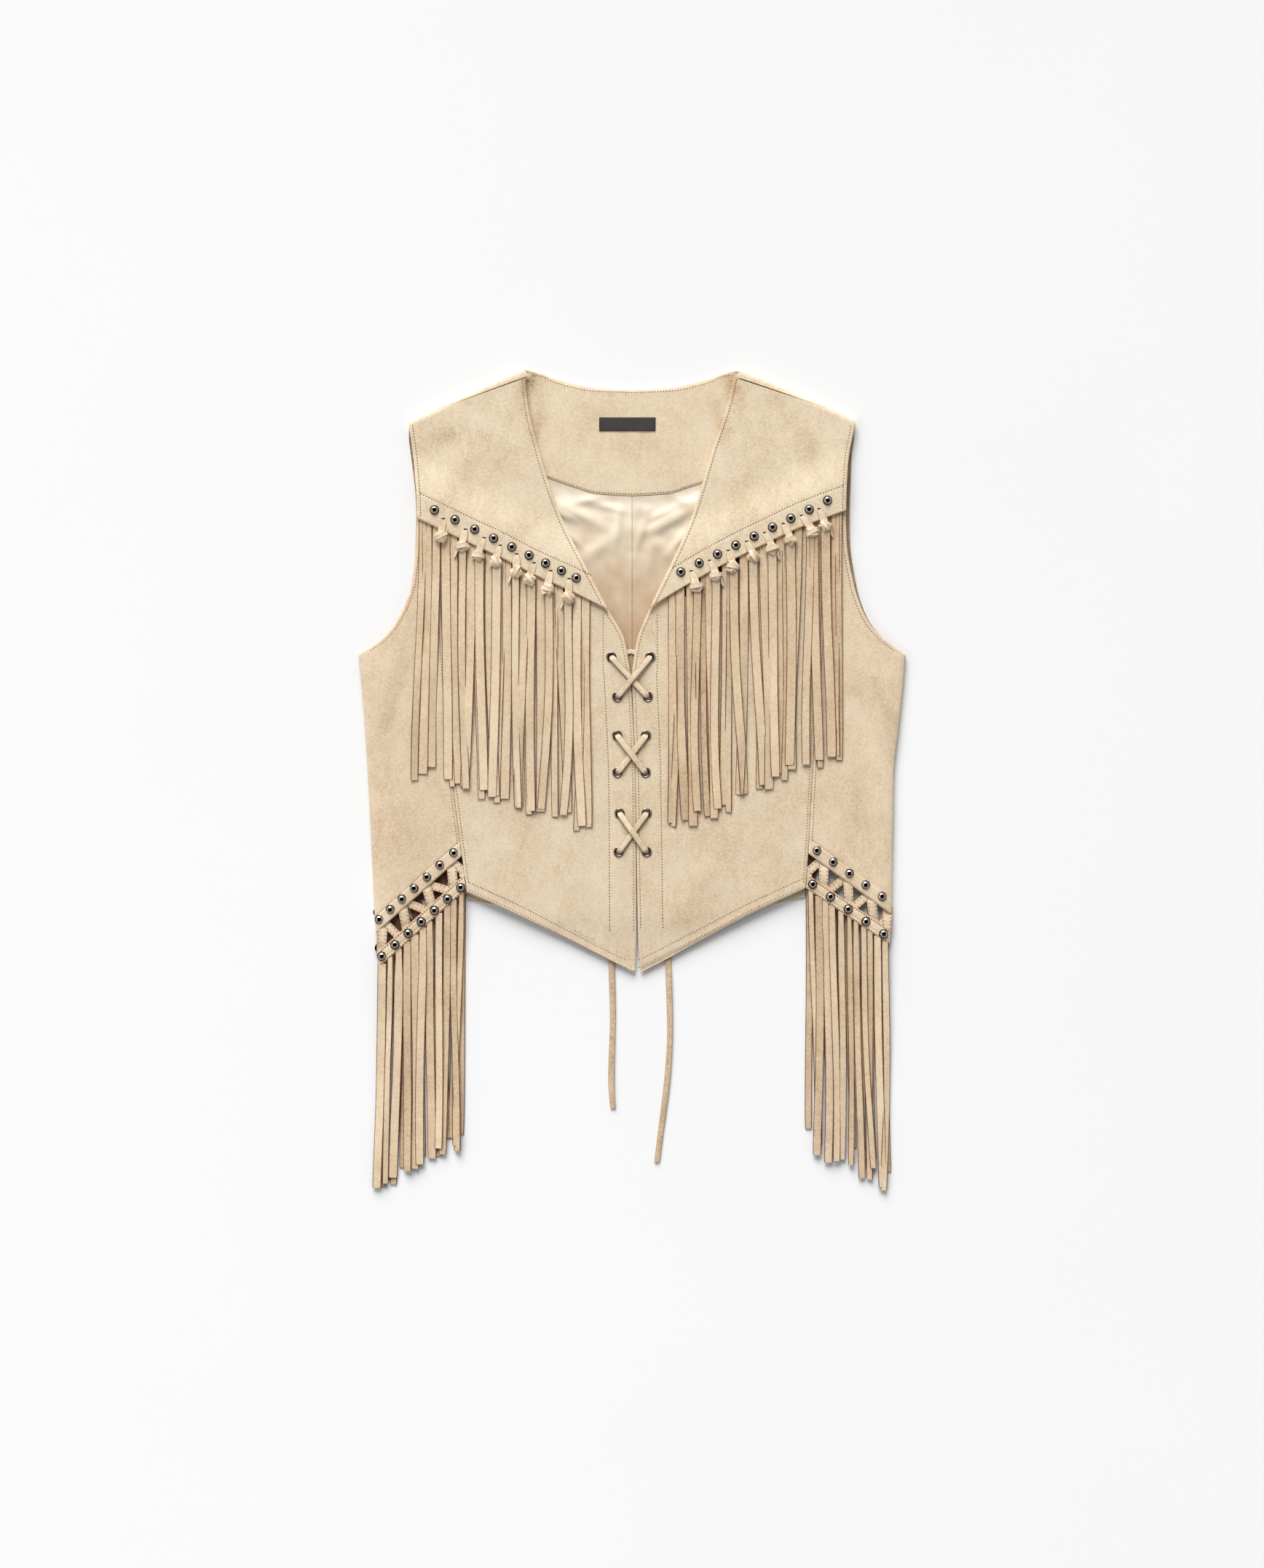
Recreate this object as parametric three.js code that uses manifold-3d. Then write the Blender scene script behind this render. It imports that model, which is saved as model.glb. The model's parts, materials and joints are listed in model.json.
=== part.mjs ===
// A suede fringe vest laid on its back: X across it, Y towards the neck, Z up, in millimetres.
// Its right side, as worn, is at negative X. Half-widths in the tables are measured from X = 0.
import * as THREE from 'three';
import { mergeVertices } from 'three/addons/utils/BufferGeometryUtils.js';
import Module from 'manifold-3d';

const wasm = await Module();
wasm.setup();

const { clamp, lerp, smoothstep } = THREE.MathUtils;

// Cloth thicknesses and the heights that the layers lie at.
const seamGap = 0.3;
const frontWall = 1.6;
const backWall = 1.4;
const facingWall = 1.4;
const liningWall = 1.0;
const stripWall = 1.1;
const backingWall = 1.4;
const frontTop = 6.7;
const insideHeight = backWall + seamGap;

// How the layers come together at the side fold, the shoulder fold and the hem.
const sideRoll = 14;
const sideDrop = 2.5;
const armholeDrop = 0.9;
const backEdgeRoll = 6;
const backEdgeRise = 0.9;
const shoulderRadius = frontTop / 2;
const flatToArc = (Math.PI / 2 - 1) * shoulderRadius;
const hemDrop = 2.4;
const hemDropLength = 45;

// Levels that the panels share.
const underarm = 106.5;
const neckPlunge = 93;

const sides = [
  { name: 'right', sign: -1 },
  { name: 'left', sign: 1 },
];

// Half-width of the body at its side seams.
const sideSeam = [
  { y: -160, right: 216, left: 218.5 },
  { y: -102, right: 220, left: 221.3 },
  { y: -54, right: 222, left: 222 },
  { y: 5, right: 225, left: 223 },
  { y: 44, right: 227.5, left: 227 },
  { y: 82, right: 230.5, left: 231 },
  { y: 106.5, right: 233, left: 233 },
];

// Half-width of the body along the armholes, up to the shoulder tips.
const armhole = [
  { y: 106.5, right: 233, left: 233 },
  { y: 120, right: 213, left: 214.5 },
  { y: 134.5, right: 201, left: 201.5 },
  { y: 150, right: 193, left: 194 },
  { y: 167, right: 187.5, left: 188.8 },
  { y: 205, right: 184, left: 182.8 },
  { y: 230, right: 183, left: 182.3 },
  { y: 267, right: 185.5, left: 183.8 },
  { y: 304.5, right: 190.3, left: 190.3 },
];

// How far the back's armhole edge shows outside the front's.
const armholePeek = [
  { y: 106.5, right: 0, left: 0 },
  { y: 180, right: 0.2, left: 2.5 },
  { y: 250, right: 1.2, left: 3.4 },
  { y: 285, right: 2, left: 2 },
  { y: 304.5, right: 0, left: 0 },
];

// Edge of the V neck, from where the fronts meet up to the shoulder.
const neckEdge = [
  { y: 93, right: 1.9, left: 0.2 },
  { y: 118, right: 6, left: 4 },
  { y: 146, right: 21, left: 15 },
  { y: 180, right: 38.5, left: 31.5 },
  { y: 226, right: 61, left: 51.5 },
  { y: 280, right: 79, left: 68 },
  { y: 325, right: 89.3, left: 82.6 },
  { y: 350, right: 91, left: 87.5 },
];

// X of the centre front line, where the two fronts meet, and half the gap between them.
const centreFront = [
  { y: -162, x: 5, gap: 2.6 },
  { y: -130, x: 4.4, gap: 1 },
  { y: 0, x: 3, gap: 0.5 },
  { y: 93, x: -0.9, gap: 0.6 },
];

// Princess seam between the centre front and the side front.
const princessSeam = [
  { y: -93, right: 141, left: 148 },
  { y: -66, right: 144.7, left: 149.9 },
  { y: -54, right: 146.3, left: 150.7 },
  { y: 16, right: 154.5, left: 154.4 },
  { y: 100, right: 160, left: 159 },
  { y: 240, right: 168, left: 167 },
];

// Hem of the fronts, dropping from the princess seam to the point at the centre.
const frontHem = [
  { across: 3, y: -162 },
  { across: 15, y: -157.8 },
  { across: 50, y: -140.3 },
  { across: 100, y: -114.5 },
  { across: 148, y: -92.5 },
];

// Hem of the back and the curve of the back neck.
const backHem = [
  { across: 0, y: -109 },
  { across: 80, y: -108.5 },
  { across: 115, y: -106.5 },
  { across: 148, y: -100 },
];
const backNeck = [
  { across: 0, y: 332 },
  { across: 30, y: 333.4 },
  { across: 50, y: 337.2 },
  { across: 66, y: 341.8 },
  { across: 78, y: 347 },
  { across: 88, y: 350.6 },
];
const facingHem = [
  { across: 0, y: 242 },
  { across: 30, y: 243.8 },
  { across: 48, y: 249 },
  { across: 70, y: 256.6 },
  { across: 98, y: 268 },
];

// Lower edge of each yoke, from its point at the neck edge to the armhole.
const yokeEdge = [
  { across: 15, right: 142, left: 146.3 },
  { across: 50, right: 159.5, left: 167.6 },
  { across: 80, right: 173, left: 184.2 },
  { across: 110, right: 188.5, left: 199 },
  { across: 140, right: 202.5, left: 213.2 },
  { across: 183, right: 223, left: 229.5 },
];

// Shoulder folds, and how far the back wraps over onto the front at the neck.
const shoulders = {
  right: { neck: [91, 350.5], tip: [190.3, 304.5] },
  left: { neck: [87.5, 351], tip: [190.3, 306.5] },
};
const shoulderWrap = 7.5;
const frontUnderYoke = 13;
const yokeStack = frontWall + backingWall + 0.7;

// Slanted hip opening: the cut edge of the body and the lower edge of the studded band under it.
const hips = {
  right: { cut: [[144.9, -65], [217.4, -130.2]], base: [[141, -93.2], [215.5, -159.9]] },
  left: { cut: [[150.3, -63.1], [220.9, -115]], base: [[148, -92.4], [219.5, -140.6]] },
};
const hipBandWidth = 10.5;
const latticeStrip = 7;
const latticeSelvedge = 1.2;
const latticeAnchors = { right: [152.5, 172.3, 192, 211], left: [158, 180, 202] };

// Broad soft folds in the front cloth: centre, direction in degrees, half-length, half-width, height.
const clothFolds = [
  { x: 152, y: 288, turn: -61, long: 30, wide: 12, rise: 1.3 },
  { x: 128, y: 300, turn: -55, long: 30, wide: 12, rise: -0.7 },
  { x: 212, y: 72, turn: -72, long: 36, wide: 9, rise: 1.1 },
  { x: 196, y: 52, turn: -66, long: 40, wide: 10, rise: -0.7 },
  { x: -163, y: 290, turn: 40, long: 24, wide: 14, rise: -0.8 },
  { x: -143, y: 268, turn: 62, long: 24, wide: 12, rise: 0.9 },
  { x: -208, y: 80, turn: 74, long: 34, wide: 10, rise: 0.9 },
  { x: -190, y: -20, turn: 82, long: 45, wide: 13, rise: 0.6 },
  { x: 70, y: -70, turn: 65, long: 34, wide: 16, rise: 0.6 },
];

// Wrinkles in the satin lining, in the same columns.
const liningFolds = [
  { x: -46, y: 226, turn: -24, long: 22, wide: 5, rise: 1.5 },
  { x: -30, y: 196, turn: 40, long: 24, wide: 6, rise: 1.1 },
  { x: -22, y: 160, turn: 68, long: 26, wide: 5, rise: 1.0 },
  { x: 34, y: 222, turn: 28, long: 22, wide: 5, rise: 1.6 },
  { x: 52, y: 236, turn: 10, long: 16, wide: 4, rise: 1.2 },
  { x: 14, y: 178, turn: 82, long: 34, wide: 5, rise: 1.1 },
  { x: 26, y: 196, turn: -52, long: 18, wide: 5, rise: 0.9 },
];

// Domed studs: rows that start and end at real points. A row with bunch closes up towards its end.
const studRadius = 3.6;
const studHeight = 2.5;
const studSink = 0.5;
const studRows = {
  yoke_right: { count: 9, from: [-168, 229.4], to: [-47.4, 171.7], bunch: 0.18 },
  yoke_left: { count: 9, from: [166.2, 237.5], to: [41.5, 176.7], bunch: 0 },
  side_front_right: { count: 7, from: [-151.9, -61.2], to: [-212.4, -115.6], bunch: 0 },
  side_front_left: { count: 5, from: [157.2, -60.4], to: [212.7, -99.4], bunch: 0 },
  hip_band_front_right: { count: 7, from: [-146.4, -91.2], to: [-211.6, -149.6], bunch: 0 },
  hip_band_front_left: { count: 5, from: [153.8, -89], to: [213.4, -129.5], bunch: 0 },
};

// Chest fringe: strand roots run along the yoke's edge, tips along a slanted line.
const chestStrands = {
  right: { count: 28, inner: 37, outer: 181.5, innerTip: -41, outerTip: 7 },
  left: { count: 27, inner: 35, outer: 181, innerTip: -43, outerTip: 26 },
};
const strandFill = 0.86;
const tipScatter = 7;
const rolledStrands = 26;
const backingTop = 11;
const backingBottom = 2;

// Knotted strands: where each knot lies across the chest and how far below the yoke's edge.
const knots = [
  { right: 162.4, rightDrop: 6.2, rightSlot: 160.6, left: 54.6, leftDrop: 6, leftSlot: 50.5 },
  { right: 144.5, rightDrop: 6.2, rightSlot: 141.6, left: 71.3, leftDrop: 6, leftSlot: 66.3 },
  { right: 130.8, rightDrop: 8, rightSlot: 126, left: 85.6, leftDrop: 6, leftSlot: 82 },
  { right: 115.9, rightDrop: 6.2, rightSlot: 112.2, left: 102.9, leftDrop: 6, leftSlot: 97.6 },
  { right: 98.6, rightDrop: 6, rightSlot: 98, left: 119, leftDrop: 7, leftSlot: 113 },
  { right: 86.8, rightDrop: 6.2, rightSlot: 83.5, left: 134.5, leftDrop: 7, leftSlot: 128.6 },
  { right: 71.9, rightDrop: 7.6, rightSlot: 69.2, left: 153.1, leftDrop: 8, leftSlot: 144.4 },
  { right: 53.9, rightDrop: 6.2, rightSlot: 53.6, left: 164.3, leftDrop: 7, leftSlot: 159.2 },
];
const knotSize = [4.8, 4.2, 3.1];
const loopWidth = 6;
const loopReach = 9;

// Hip fringe: root line under the band and tip line, for the front and the back layer.
const hipStrands = {
  front_right: { count: 13, innerTip: -306, outerTip: -350 },
  front_left: { count: 13, innerTip: -314, outerTip: -346 },
  back_right: { count: 12, innerTip: -296, outerTip: -354.1 },
  back_left: { count: 12, innerTip: -302, outerTip: -334 },
};
const hipRootHeight = 4;
const hipStrandStart = 2.4;
const hipLean = 2.5;
const strandFloor = 0.35;
const layerGap = 0.45;

// Eyelets, top to bottom, beside the centre front.
const eyelets = [
  { y: 104.4, right: -17.6, left: 15.5 },
  { y: 70.6, right: -12.6, left: 13.4 },
  { y: 37.6, right: -12.6, left: 11.8 },
  { y: 6.2, right: -12.4, left: 11.5 },
  { y: -28.7, right: -10.6, left: 12.4 },
  { y: -61.5, right: -11.4, left: 12.4 },
];
const eyeletBore = 3;
const eyeletBarrel = 3.5;
const eyeletRim = 4.7;
const eyeletCrown = 1.1;
const eyeletHole = 3.9;

// Lace: a strip folded in two, threaded in three crosses.
const laceWidth = 4.8;
const boreWidth = 4.2;
const laceWall = 1.5;
const laceInside = 3.75;
const laceOverRim = 2.3;
const laceUnderCross = 1.5;
const laceOverCross = 3.5;
const laceTails = {
  right: [
    [-11.4, -72, 3.75], [-12, -84, 3.75], [-13.6, -98, 3.75], [-15.2, -110, 3.5], [-16.6, -122, 2.4],
    [-17.3, -134, 1.4], [-17.5, -150, 1.1], [-17.2, -168, 1.1], [-16.6, -186, 1.1], [-16.4, -204, 1.1],
    [-16.9, -222, 1.1], [-17.5, -240, 1.1], [-17.7, -258, 1.1], [-17.1, -270, 1.1], [-16.1, -280, 1.1],
  ],
  left: [
    [12.4, -70, 3.75], [14, -82, 3.75], [18, -95, 3.75], [22.6, -107, 3.6], [26.6, -120, 2.6],
    [29, -133, 1.5], [30.4, -150, 1.1], [31.4, -170, 1.1], [32, -190, 1.1], [32.3, -210, 1.1],
    [31.9, -230, 1.1], [30.5, -250, 1.1], [28.2, -272, 1.1], [25, -296, 1.1], [21.2, -326, 1.1],
  ],
};

const labelSize = [48, 11.6, 0.6];
const labelCentre = [-4, 303];

// Monotone cubic through one column of a table, so that a curve never overshoots its rows.
function trace(rows, along, column, at) {
  const last = rows.length - 1;
  const secant = (k) => (rows[k + 1][column] - rows[k][column]) / (rows[k + 1][along] - rows[k][along]);
  const slope = (k) => {
    if (k === 0) {
      return secant(0);
    }
    if (k === last) {
      return secant(last - 1);
    }
    const before = secant(k - 1);
    const after = secant(k);
    return before * after <= 0 ? 0 : (2 * before * after) / (before + after);
  };
  const t = clamp(at, rows[0][along], rows[last][along]);
  let k = 0;
  while (k < last - 1 && t > rows[k + 1][along]) {
    k += 1;
  }
  const span = rows[k + 1][along] - rows[k][along];
  const f = (t - rows[k][along]) / span;
  const start = (1 + 2 * f) * (1 - f) ** 2 * rows[k][column];
  const startSlope = f * (1 - f) ** 2 * span * slope(k);
  const end = f ** 2 * (3 - 2 * f) * rows[k + 1][column];
  const endSlope = f ** 2 * (f - 1) * span * slope(k + 1);
  return start + startSlope + end + endSlope;
}

// A number from 0 to 1 that stays the same for the same strand.
function scatter(index, salt) {
  const value = Math.sin(index * 12.9898 + salt * 78.233) * 43758.5453;
  return value - Math.floor(value);
}

const acrossBody = new THREE.Vector3(1, 0, 0);
const sideOf = (x) => (x < 0 ? 'right' : 'left');
const bodyEdge = (y, side) => trace(y < underarm ? sideSeam : armhole, 'y', side, y);
const backEdge = (y, side) => bodyEdge(y, side) + (y < underarm ? 0 : trace(armholePeek, 'y', side, y));
const openingEdge = (y, side) => {
  if (y >= neckPlunge) {
    return trace(neckEdge, 'y', side, y);
  }
  const line = trace(centreFront, 'y', 'x', y);
  const gap = trace(centreFront, 'y', 'gap', y);
  return (side === 'right' ? -line : line) + gap;
};
const lineHeight = ([[x0, y0], [x1, y1]], across) => y0 + ((y1 - y0) * (across - x0)) / (x1 - x0);

// Frame of one shoulder fold in half-width coordinates: a start, a direction along it and inward.
function shoulderFrame(side) {
  const { neck, tip } = shoulders[side];
  const length = Math.hypot(tip[0] - neck[0], tip[1] - neck[1]);
  const along = [(tip[0] - neck[0]) / length, (tip[1] - neck[1]) / length];
  return { neck, length, along, inward: [along[1], -along[0]] };
}

function shoulderDepth(across, y, side) {
  const { neck, inward } = shoulderFrame(side);
  return (across - neck[0]) * inward[0] + (y - neck[1]) * inward[1];
}

function foldRise(folds, x, y) {
  let rise = 0;
  for (const fold of folds) {
    const turn = THREE.MathUtils.degToRad(fold.turn);
    const along = (x - fold.x) * Math.cos(turn) + (y - fold.y) * Math.sin(turn);
    const beside = (y - fold.y) * Math.cos(turn) - (x - fold.x) * Math.sin(turn);
    rise += fold.rise * Math.exp(-((along / fold.long) ** 2) - (beside / fold.wide) ** 2);
  }
  return rise;
}

// Height of the fronts' outer face: level, rolled down at the side fold and lower past the back's hem.
function frontHeight(x, y) {
  const side = sideOf(x);
  const inset = clamp((bodyEdge(y, side) - Math.abs(x)) / sideRoll, 0, 1);
  const awayFromShoulder = smoothstep(shoulderDepth(Math.abs(x), y, side), 6, 45);
  const drop = lerp(sideDrop, armholeDrop, smoothstep(y, underarm - 10, underarm + 15));
  const roll = drop * (1 - Math.sqrt(1 - (1 - inset) ** 2)) * awayFromShoulder;
  const nearCentre = 1 - smoothstep(Math.abs(x), 100, 140);
  const pastBackHem = smoothstep(backHem[0].y - y, 0, hemDropLength) * nearCentre;
  return frontTop - roll - hemDrop * pastBackHem + foldRise(clothFolds, x, y) * awayFromShoulder;
}

// Height of the back's outer face over the floor: flat, turned up at the side seams.
function backHeight(x, y) {
  const inset = clamp((bodyEdge(y, sideOf(x)) - Math.abs(x)) / backEdgeRoll, 0, 1);
  return y < underarm ? backEdgeRise * (1 - inset) ** 2 : 0;
}

// A point on the shoulder fold: arc is the distance round it from its outermost line, front side positive.
function aroundShoulder(x, y, depth, arc) {
  const side = sideOf(x);
  const sign = x < 0 ? -1 : 1;
  const { inward } = shoulderFrame(side);
  const inPlane = shoulderDepth(Math.abs(x), y, side);
  const angle = clamp(arc / shoulderRadius, -Math.PI / 2, Math.PI / 2);
  const beyond = Math.max(arc - (Math.PI / 2) * shoulderRadius, 0);
  const reach = shoulderRadius - (shoulderRadius - depth) * Math.cos(angle) + beyond;
  const shift = reach - inPlane;
  const z = shoulderRadius + (shoulderRadius - depth) * Math.sin(angle);
  return new THREE.Vector3(x + sign * inward[0] * shift, y + inward[1] * shift, z);
}

// A point of the front layer, depth under its outer face.
function onFront(x, y, depth) {
  const inPlane = shoulderDepth(Math.abs(x), y, sideOf(x));
  if (inPlane < shoulderRadius) {
    return aroundShoulder(x, y, depth, inPlane + flatToArc);
  }
  return new THREE.Vector3(x, y, frontHeight(x, y) - depth);
}

// A point of the back layer, depth over its outer face.
function onBack(x, y, depth) {
  const inPlane = shoulderDepth(Math.abs(x), y, sideOf(x));
  if (inPlane < shoulderRadius) {
    return aroundShoulder(x, y, depth, -inPlane - flatToArc);
  }
  return new THREE.Vector3(x, y, backHeight(x, y) + depth);
}

// The yoke lies over the fronts and the fringe's backing at its lower edge, and sinks to them above.
function onYoke(x, y, depth) {
  const point = onFront(x, y, depth);
  const overEdge = y - trace(yokeEdge, 'across', sideOf(x), Math.abs(x));
  point.z += yokeStack * (1 - smoothstep(overEdge, 18, 58));
  return point;
}

// Closed mesh from vertices and triangles, turned so that its faces point out.
function closedGeometry(vertices, triangles) {
  const volume = triangles.reduce((sum, [a, b, c]) => {
    const normal = new THREE.Vector3().crossVectors(vertices[b], vertices[c]);
    return sum + vertices[a].dot(normal);
  }, 0);
  const order = triangles.map(([a, b, c]) => (volume < 0 ? [a, c, b] : [a, b, c]));
  const geometry = new THREE.BufferGeometry();
  const positions = vertices.flatMap((vertex) => vertex.toArray());
  geometry.setAttribute('position', new THREE.Float32BufferAttribute(positions, 3));
  geometry.setIndex(order.flat());
  return geometry;
}

// Wall of cloth from a grid: place(column, row) gives plan points, surface lifts them at a depth.
function clothWall({ columns, rows, place, surface, from = 0, wall }) {
  const width = columns.length;
  const vertices = [];
  for (const depth of [from, from + wall]) {
    for (let j = 0; j < rows; j += 1) {
      for (const column of columns) {
        const [x, y] = place(column, j);
        vertices.push(surface(x, y, depth));
      }
    }
  }
  const [lastColumn, lastRow] = [width - 1, rows - 1];
  const index = (i, j, layer) => layer * width * rows + j * width + i;
  const triangles = [];
  const quad = (a, b, c, d) => triangles.push([a, b, c], [a, c, d]);
  for (let j = 0; j < lastRow; j += 1) {
    for (let i = 0; i < lastColumn; i += 1) {
      quad(index(i, j, 0), index(i + 1, j, 0), index(i + 1, j + 1, 0), index(i, j + 1, 0));
      quad(index(i, j, 1), index(i, j + 1, 1), index(i + 1, j + 1, 1), index(i + 1, j, 1));
    }
  }
  for (let i = 0; i < lastColumn; i += 1) {
    const next = i + 1;
    quad(index(i, 0, 1), index(next, 0, 1), index(next, 0, 0), index(i, 0, 0));
    quad(index(i, lastRow, 0), index(next, lastRow, 0), index(next, lastRow, 1), index(i, lastRow, 1));
  }
  for (let j = 0; j < lastRow; j += 1) {
    const next = j + 1;
    quad(index(0, j, 0), index(0, next, 0), index(0, next, 1), index(0, j, 1));
    quad(index(lastColumn, j, 1), index(lastColumn, next, 1),
      index(lastColumn, next, 0), index(lastColumn, j, 0));
  }
  return closedGeometry(vertices, triangles);
}

// Heights of a column's rows: even steps between levels, counts[k] of them from level k to level k + 1.
function climb(levels, counts) {
  const heights = [levels[0]];
  counts.forEach((count, k) => {
    for (let step = 1; step <= count; step += 1) {
      heights.push(lerp(levels[k], levels[k + 1], step / count));
    }
  });
  return heights;
}

// Strip along stations, each with a centre, a width direction and a width, with a flat or rounded section.
function strip(stations, wall, section = 4) {
  const rings = stations.map((station, k) => {
    const before = stations[Math.max(k - 1, 0)].centre;
    const after = stations[Math.min(k + 1, stations.length - 1)].centre;
    const tangent = new THREE.Vector3().subVectors(after, before).normalize();
    const normal = new THREE.Vector3().crossVectors(tangent, station.sideways).normalize();
    const sideways = new THREE.Vector3().crossVectors(normal, tangent).normalize();
    return Array.from({ length: section }, (_, n) => {
      const angle = ((n + 0.5) / section) * 2 * Math.PI;
      const stretch = section === 4 ? Math.SQRT2 : 1 / Math.cos(Math.PI / section);
      const across = (station.width / 2) * stretch * Math.cos(angle);
      const up = (wall / 2) * stretch * Math.sin(angle);
      return station.centre.clone().addScaledVector(sideways, across).addScaledVector(normal, up);
    });
  });
  const vertices = rings.flat();
  const triangles = [];
  for (let k = 0; k < rings.length - 1; k += 1) {
    for (let n = 0; n < section; n += 1) {
      const next = (n + 1) % section;
      const a = k * section + n;
      const b = k * section + next;
      triangles.push([a, b, b + section], [a, b + section, a + section]);
    }
  }
  const lastRing = (rings.length - 1) * section;
  for (let n = 1; n < section - 1; n += 1) {
    triangles.push([0, n + 1, n], [lastRing, lastRing + n, lastRing + n + 1]);
  }
  return closedGeometry(vertices, triangles);
}

// Booleans on closed geometries.
function toSolid(geometry) {
  const bare = geometry.clone();
  bare.deleteAttribute('normal');
  bare.deleteAttribute('uv');
  const merged = mergeVertices(bare, 1e-4);
  const vertProperties = new Float32Array(merged.attributes.position.array);
  const triVerts = new Uint32Array(merged.index.array);
  return new wasm.Manifold(new wasm.Mesh({ numProp: 3, vertProperties, triVerts }));
}

function fromSolid(solid) {
  const { numProp, vertProperties, triVerts } = solid.getMesh();
  const points = [];
  for (let k = 0; k < vertProperties.length; k += numProp) {
    points.push(vertProperties[k], vertProperties[k + 1], vertProperties[k + 2]);
  }
  const geometry = new THREE.BufferGeometry();
  geometry.setAttribute('position', new THREE.Float32BufferAttribute(points, 3));
  geometry.setIndex(Array.from(triVerts));
  return geometry;
}

function join(first, others) {
  return fromSolid(others.map(toSolid).reduce((sum, next) => sum.add(next), toSolid(first)));
}

function cut(first, others) {
  return fromSolid(others.map(toSolid).reduce((rest, next) => rest.subtract(next), toSolid(first)));
}

function suedeMaterial() {
  return new THREE.MeshStandardMaterial({ color: 0xdfc7a4, roughness: 0.95, metalness: 0 });
}

function fringeMaterial() {
  return new THREE.MeshStandardMaterial({ color: 0xcfb38d, roughness: 0.95, metalness: 0 });
}

function satinMaterial() {
  return new THREE.MeshStandardMaterial({ color: 0xf1dfc6, roughness: 0.4, metalness: 0 });
}

function labelMaterial() {
  return new THREE.MeshStandardMaterial({ color: 0x2f2b2c, roughness: 0.7, metalness: 0 });
}

function metalMaterial() {
  return new THREE.MeshStandardMaterial({ color: 0x6d655e, roughness: 0.3, metalness: 1 });
}

// Dome of one stud, its base sunk into the cloth it is riveted to.
function studDome(x, y, z) {
  const profile = [
    [0, -studSink], [studRadius, -studSink], [studRadius * 0.78, studHeight * 0.72], [0, studHeight],
  ].map(([radius, height]) => new THREE.Vector2(radius, height));
  const dome = new THREE.LatheGeometry(profile, 7);
  dome.rotateX(Math.PI / 2);
  dome.translate(x, y, z);
  return dome;
}

function studPlaces({ count, from, to, bunch }) {
  return Array.from({ length: count }, (_, k) => {
    const even = k / (count - 1);
    const along = even + bunch * even * (1 - even);
    return [lerp(from[0], to[0], along), lerp(from[1], to[1], along)];
  });
}

// Panel with its row of studs joined to its outer face.
function studded(geometry, rowName, surface) {
  const domes = studPlaces(studRows[rowName]).map(([x, y]) => studDome(x, y, surface(x, y, 0).z));
  return join(geometry, domes);
}

// Back: one panel from hem to neck that wraps over the shoulders, notched at both hip openings.
function makeBack() {
  const rolled = [1, 0.985, 0.965, 0.86];
  const notch = { right: [0.6493, 0.639], left: [0.673, 0.6652] };
  const middle = [0.503, 0.47, 0.452, 0.37, 0.25, 0.12];
  const half = (side) => [...rolled, ...notch[side], ...middle];
  const columns = [...half('right').map((c) => -c), 0, ...half('left').reverse()];
  const shoulderSpan = armhole[8].right;
  const neckWidth = 86;
  const seamStart = 95.7;
  const belowShoulder = 24;
  const bottom = (c) => {
    const side = sideOf(c);
    const across = Math.abs(c);
    if (across <= notch[side][1]) {
      return trace(backHem, 'across', 'y', across * sideSeam[1][side]);
    }
    const guess = lineHeight(hips[side].cut, across * sideSeam[1][side]);
    return lineHeight(hips[side].cut, across * bodyEdge(guess, side));
  };
  const top = (c) => {
    const side = sideOf(c);
    const across = Math.abs(c) * shoulderSpan;
    const { neck, length, along, inward } = shoulderFrame(side);
    if (across <= neckWidth) {
      return trace(backNeck, 'across', 'y', across);
    }
    const seamHeight = (h) => {
      const travelled = clamp((h - neck[0]) / along[0] / length, 0, 1);
      const arc = lerp(shoulderWrap + flatToArc, 0, travelled) - seamGap / 2;
      return neck[1] + ((h - neck[0]) * along[1]) / along[0] + (arc + flatToArc) / -inward[1];
    };
    if (across >= seamStart) {
      return seamHeight(across);
    }
    const share = (across - neckWidth) / (seamStart - neckWidth);
    return lerp(trace(backNeck, 'across', 'y', neckWidth), seamHeight(seamStart), share);
  };
  const counts = [4, 3, 3, 6];
  const armholeBend = 152;
  const heights = new Map(columns.map((c) => {
    const crest = top(c);
    return [c, climb([bottom(c), underarm, armholeBend, crest - belowShoulder, crest], counts)];
  }));
  const place = (c, row) => {
    const y = heights.get(c)[row];
    return [c * backEdge(y, sideOf(c)), y];
  };
  return clothWall({ columns, rows: 17, place, surface: onBack, wall: backWall });
}

// Neck facing inside the back, flush with the neck curve.
function makeFacing() {
  const columns = Array.from({ length: 17 }, (_, k) => k / 8 - 1);
  const shares = [0, 0.4, 0.8, 1];
  const clearOfShoulder = 8;
  const halfWidth = { hem: 97, neck: 86 };
  const place = (c, row) => {
    const neckCurve = trace(backNeck, 'across', 'y', backNeck[5].across * Math.abs(c));
    const top = neckCurve - seamGap - clearOfShoulder * smoothstep(Math.abs(c), 0.7, 1);
    const bottom = trace(facingHem, 'across', 'y', halfWidth.hem * Math.abs(c));
    const y = lerp(bottom, top, shares[row]);
    return [c * lerp(halfWidth.hem, halfWidth.neck, smoothstep(y, 326, 346)), y];
  };
  const rows = shares.length;
  return clothWall({ columns, rows, place, surface: onBack, from: insideHeight, wall: facingWall });
}

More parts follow.
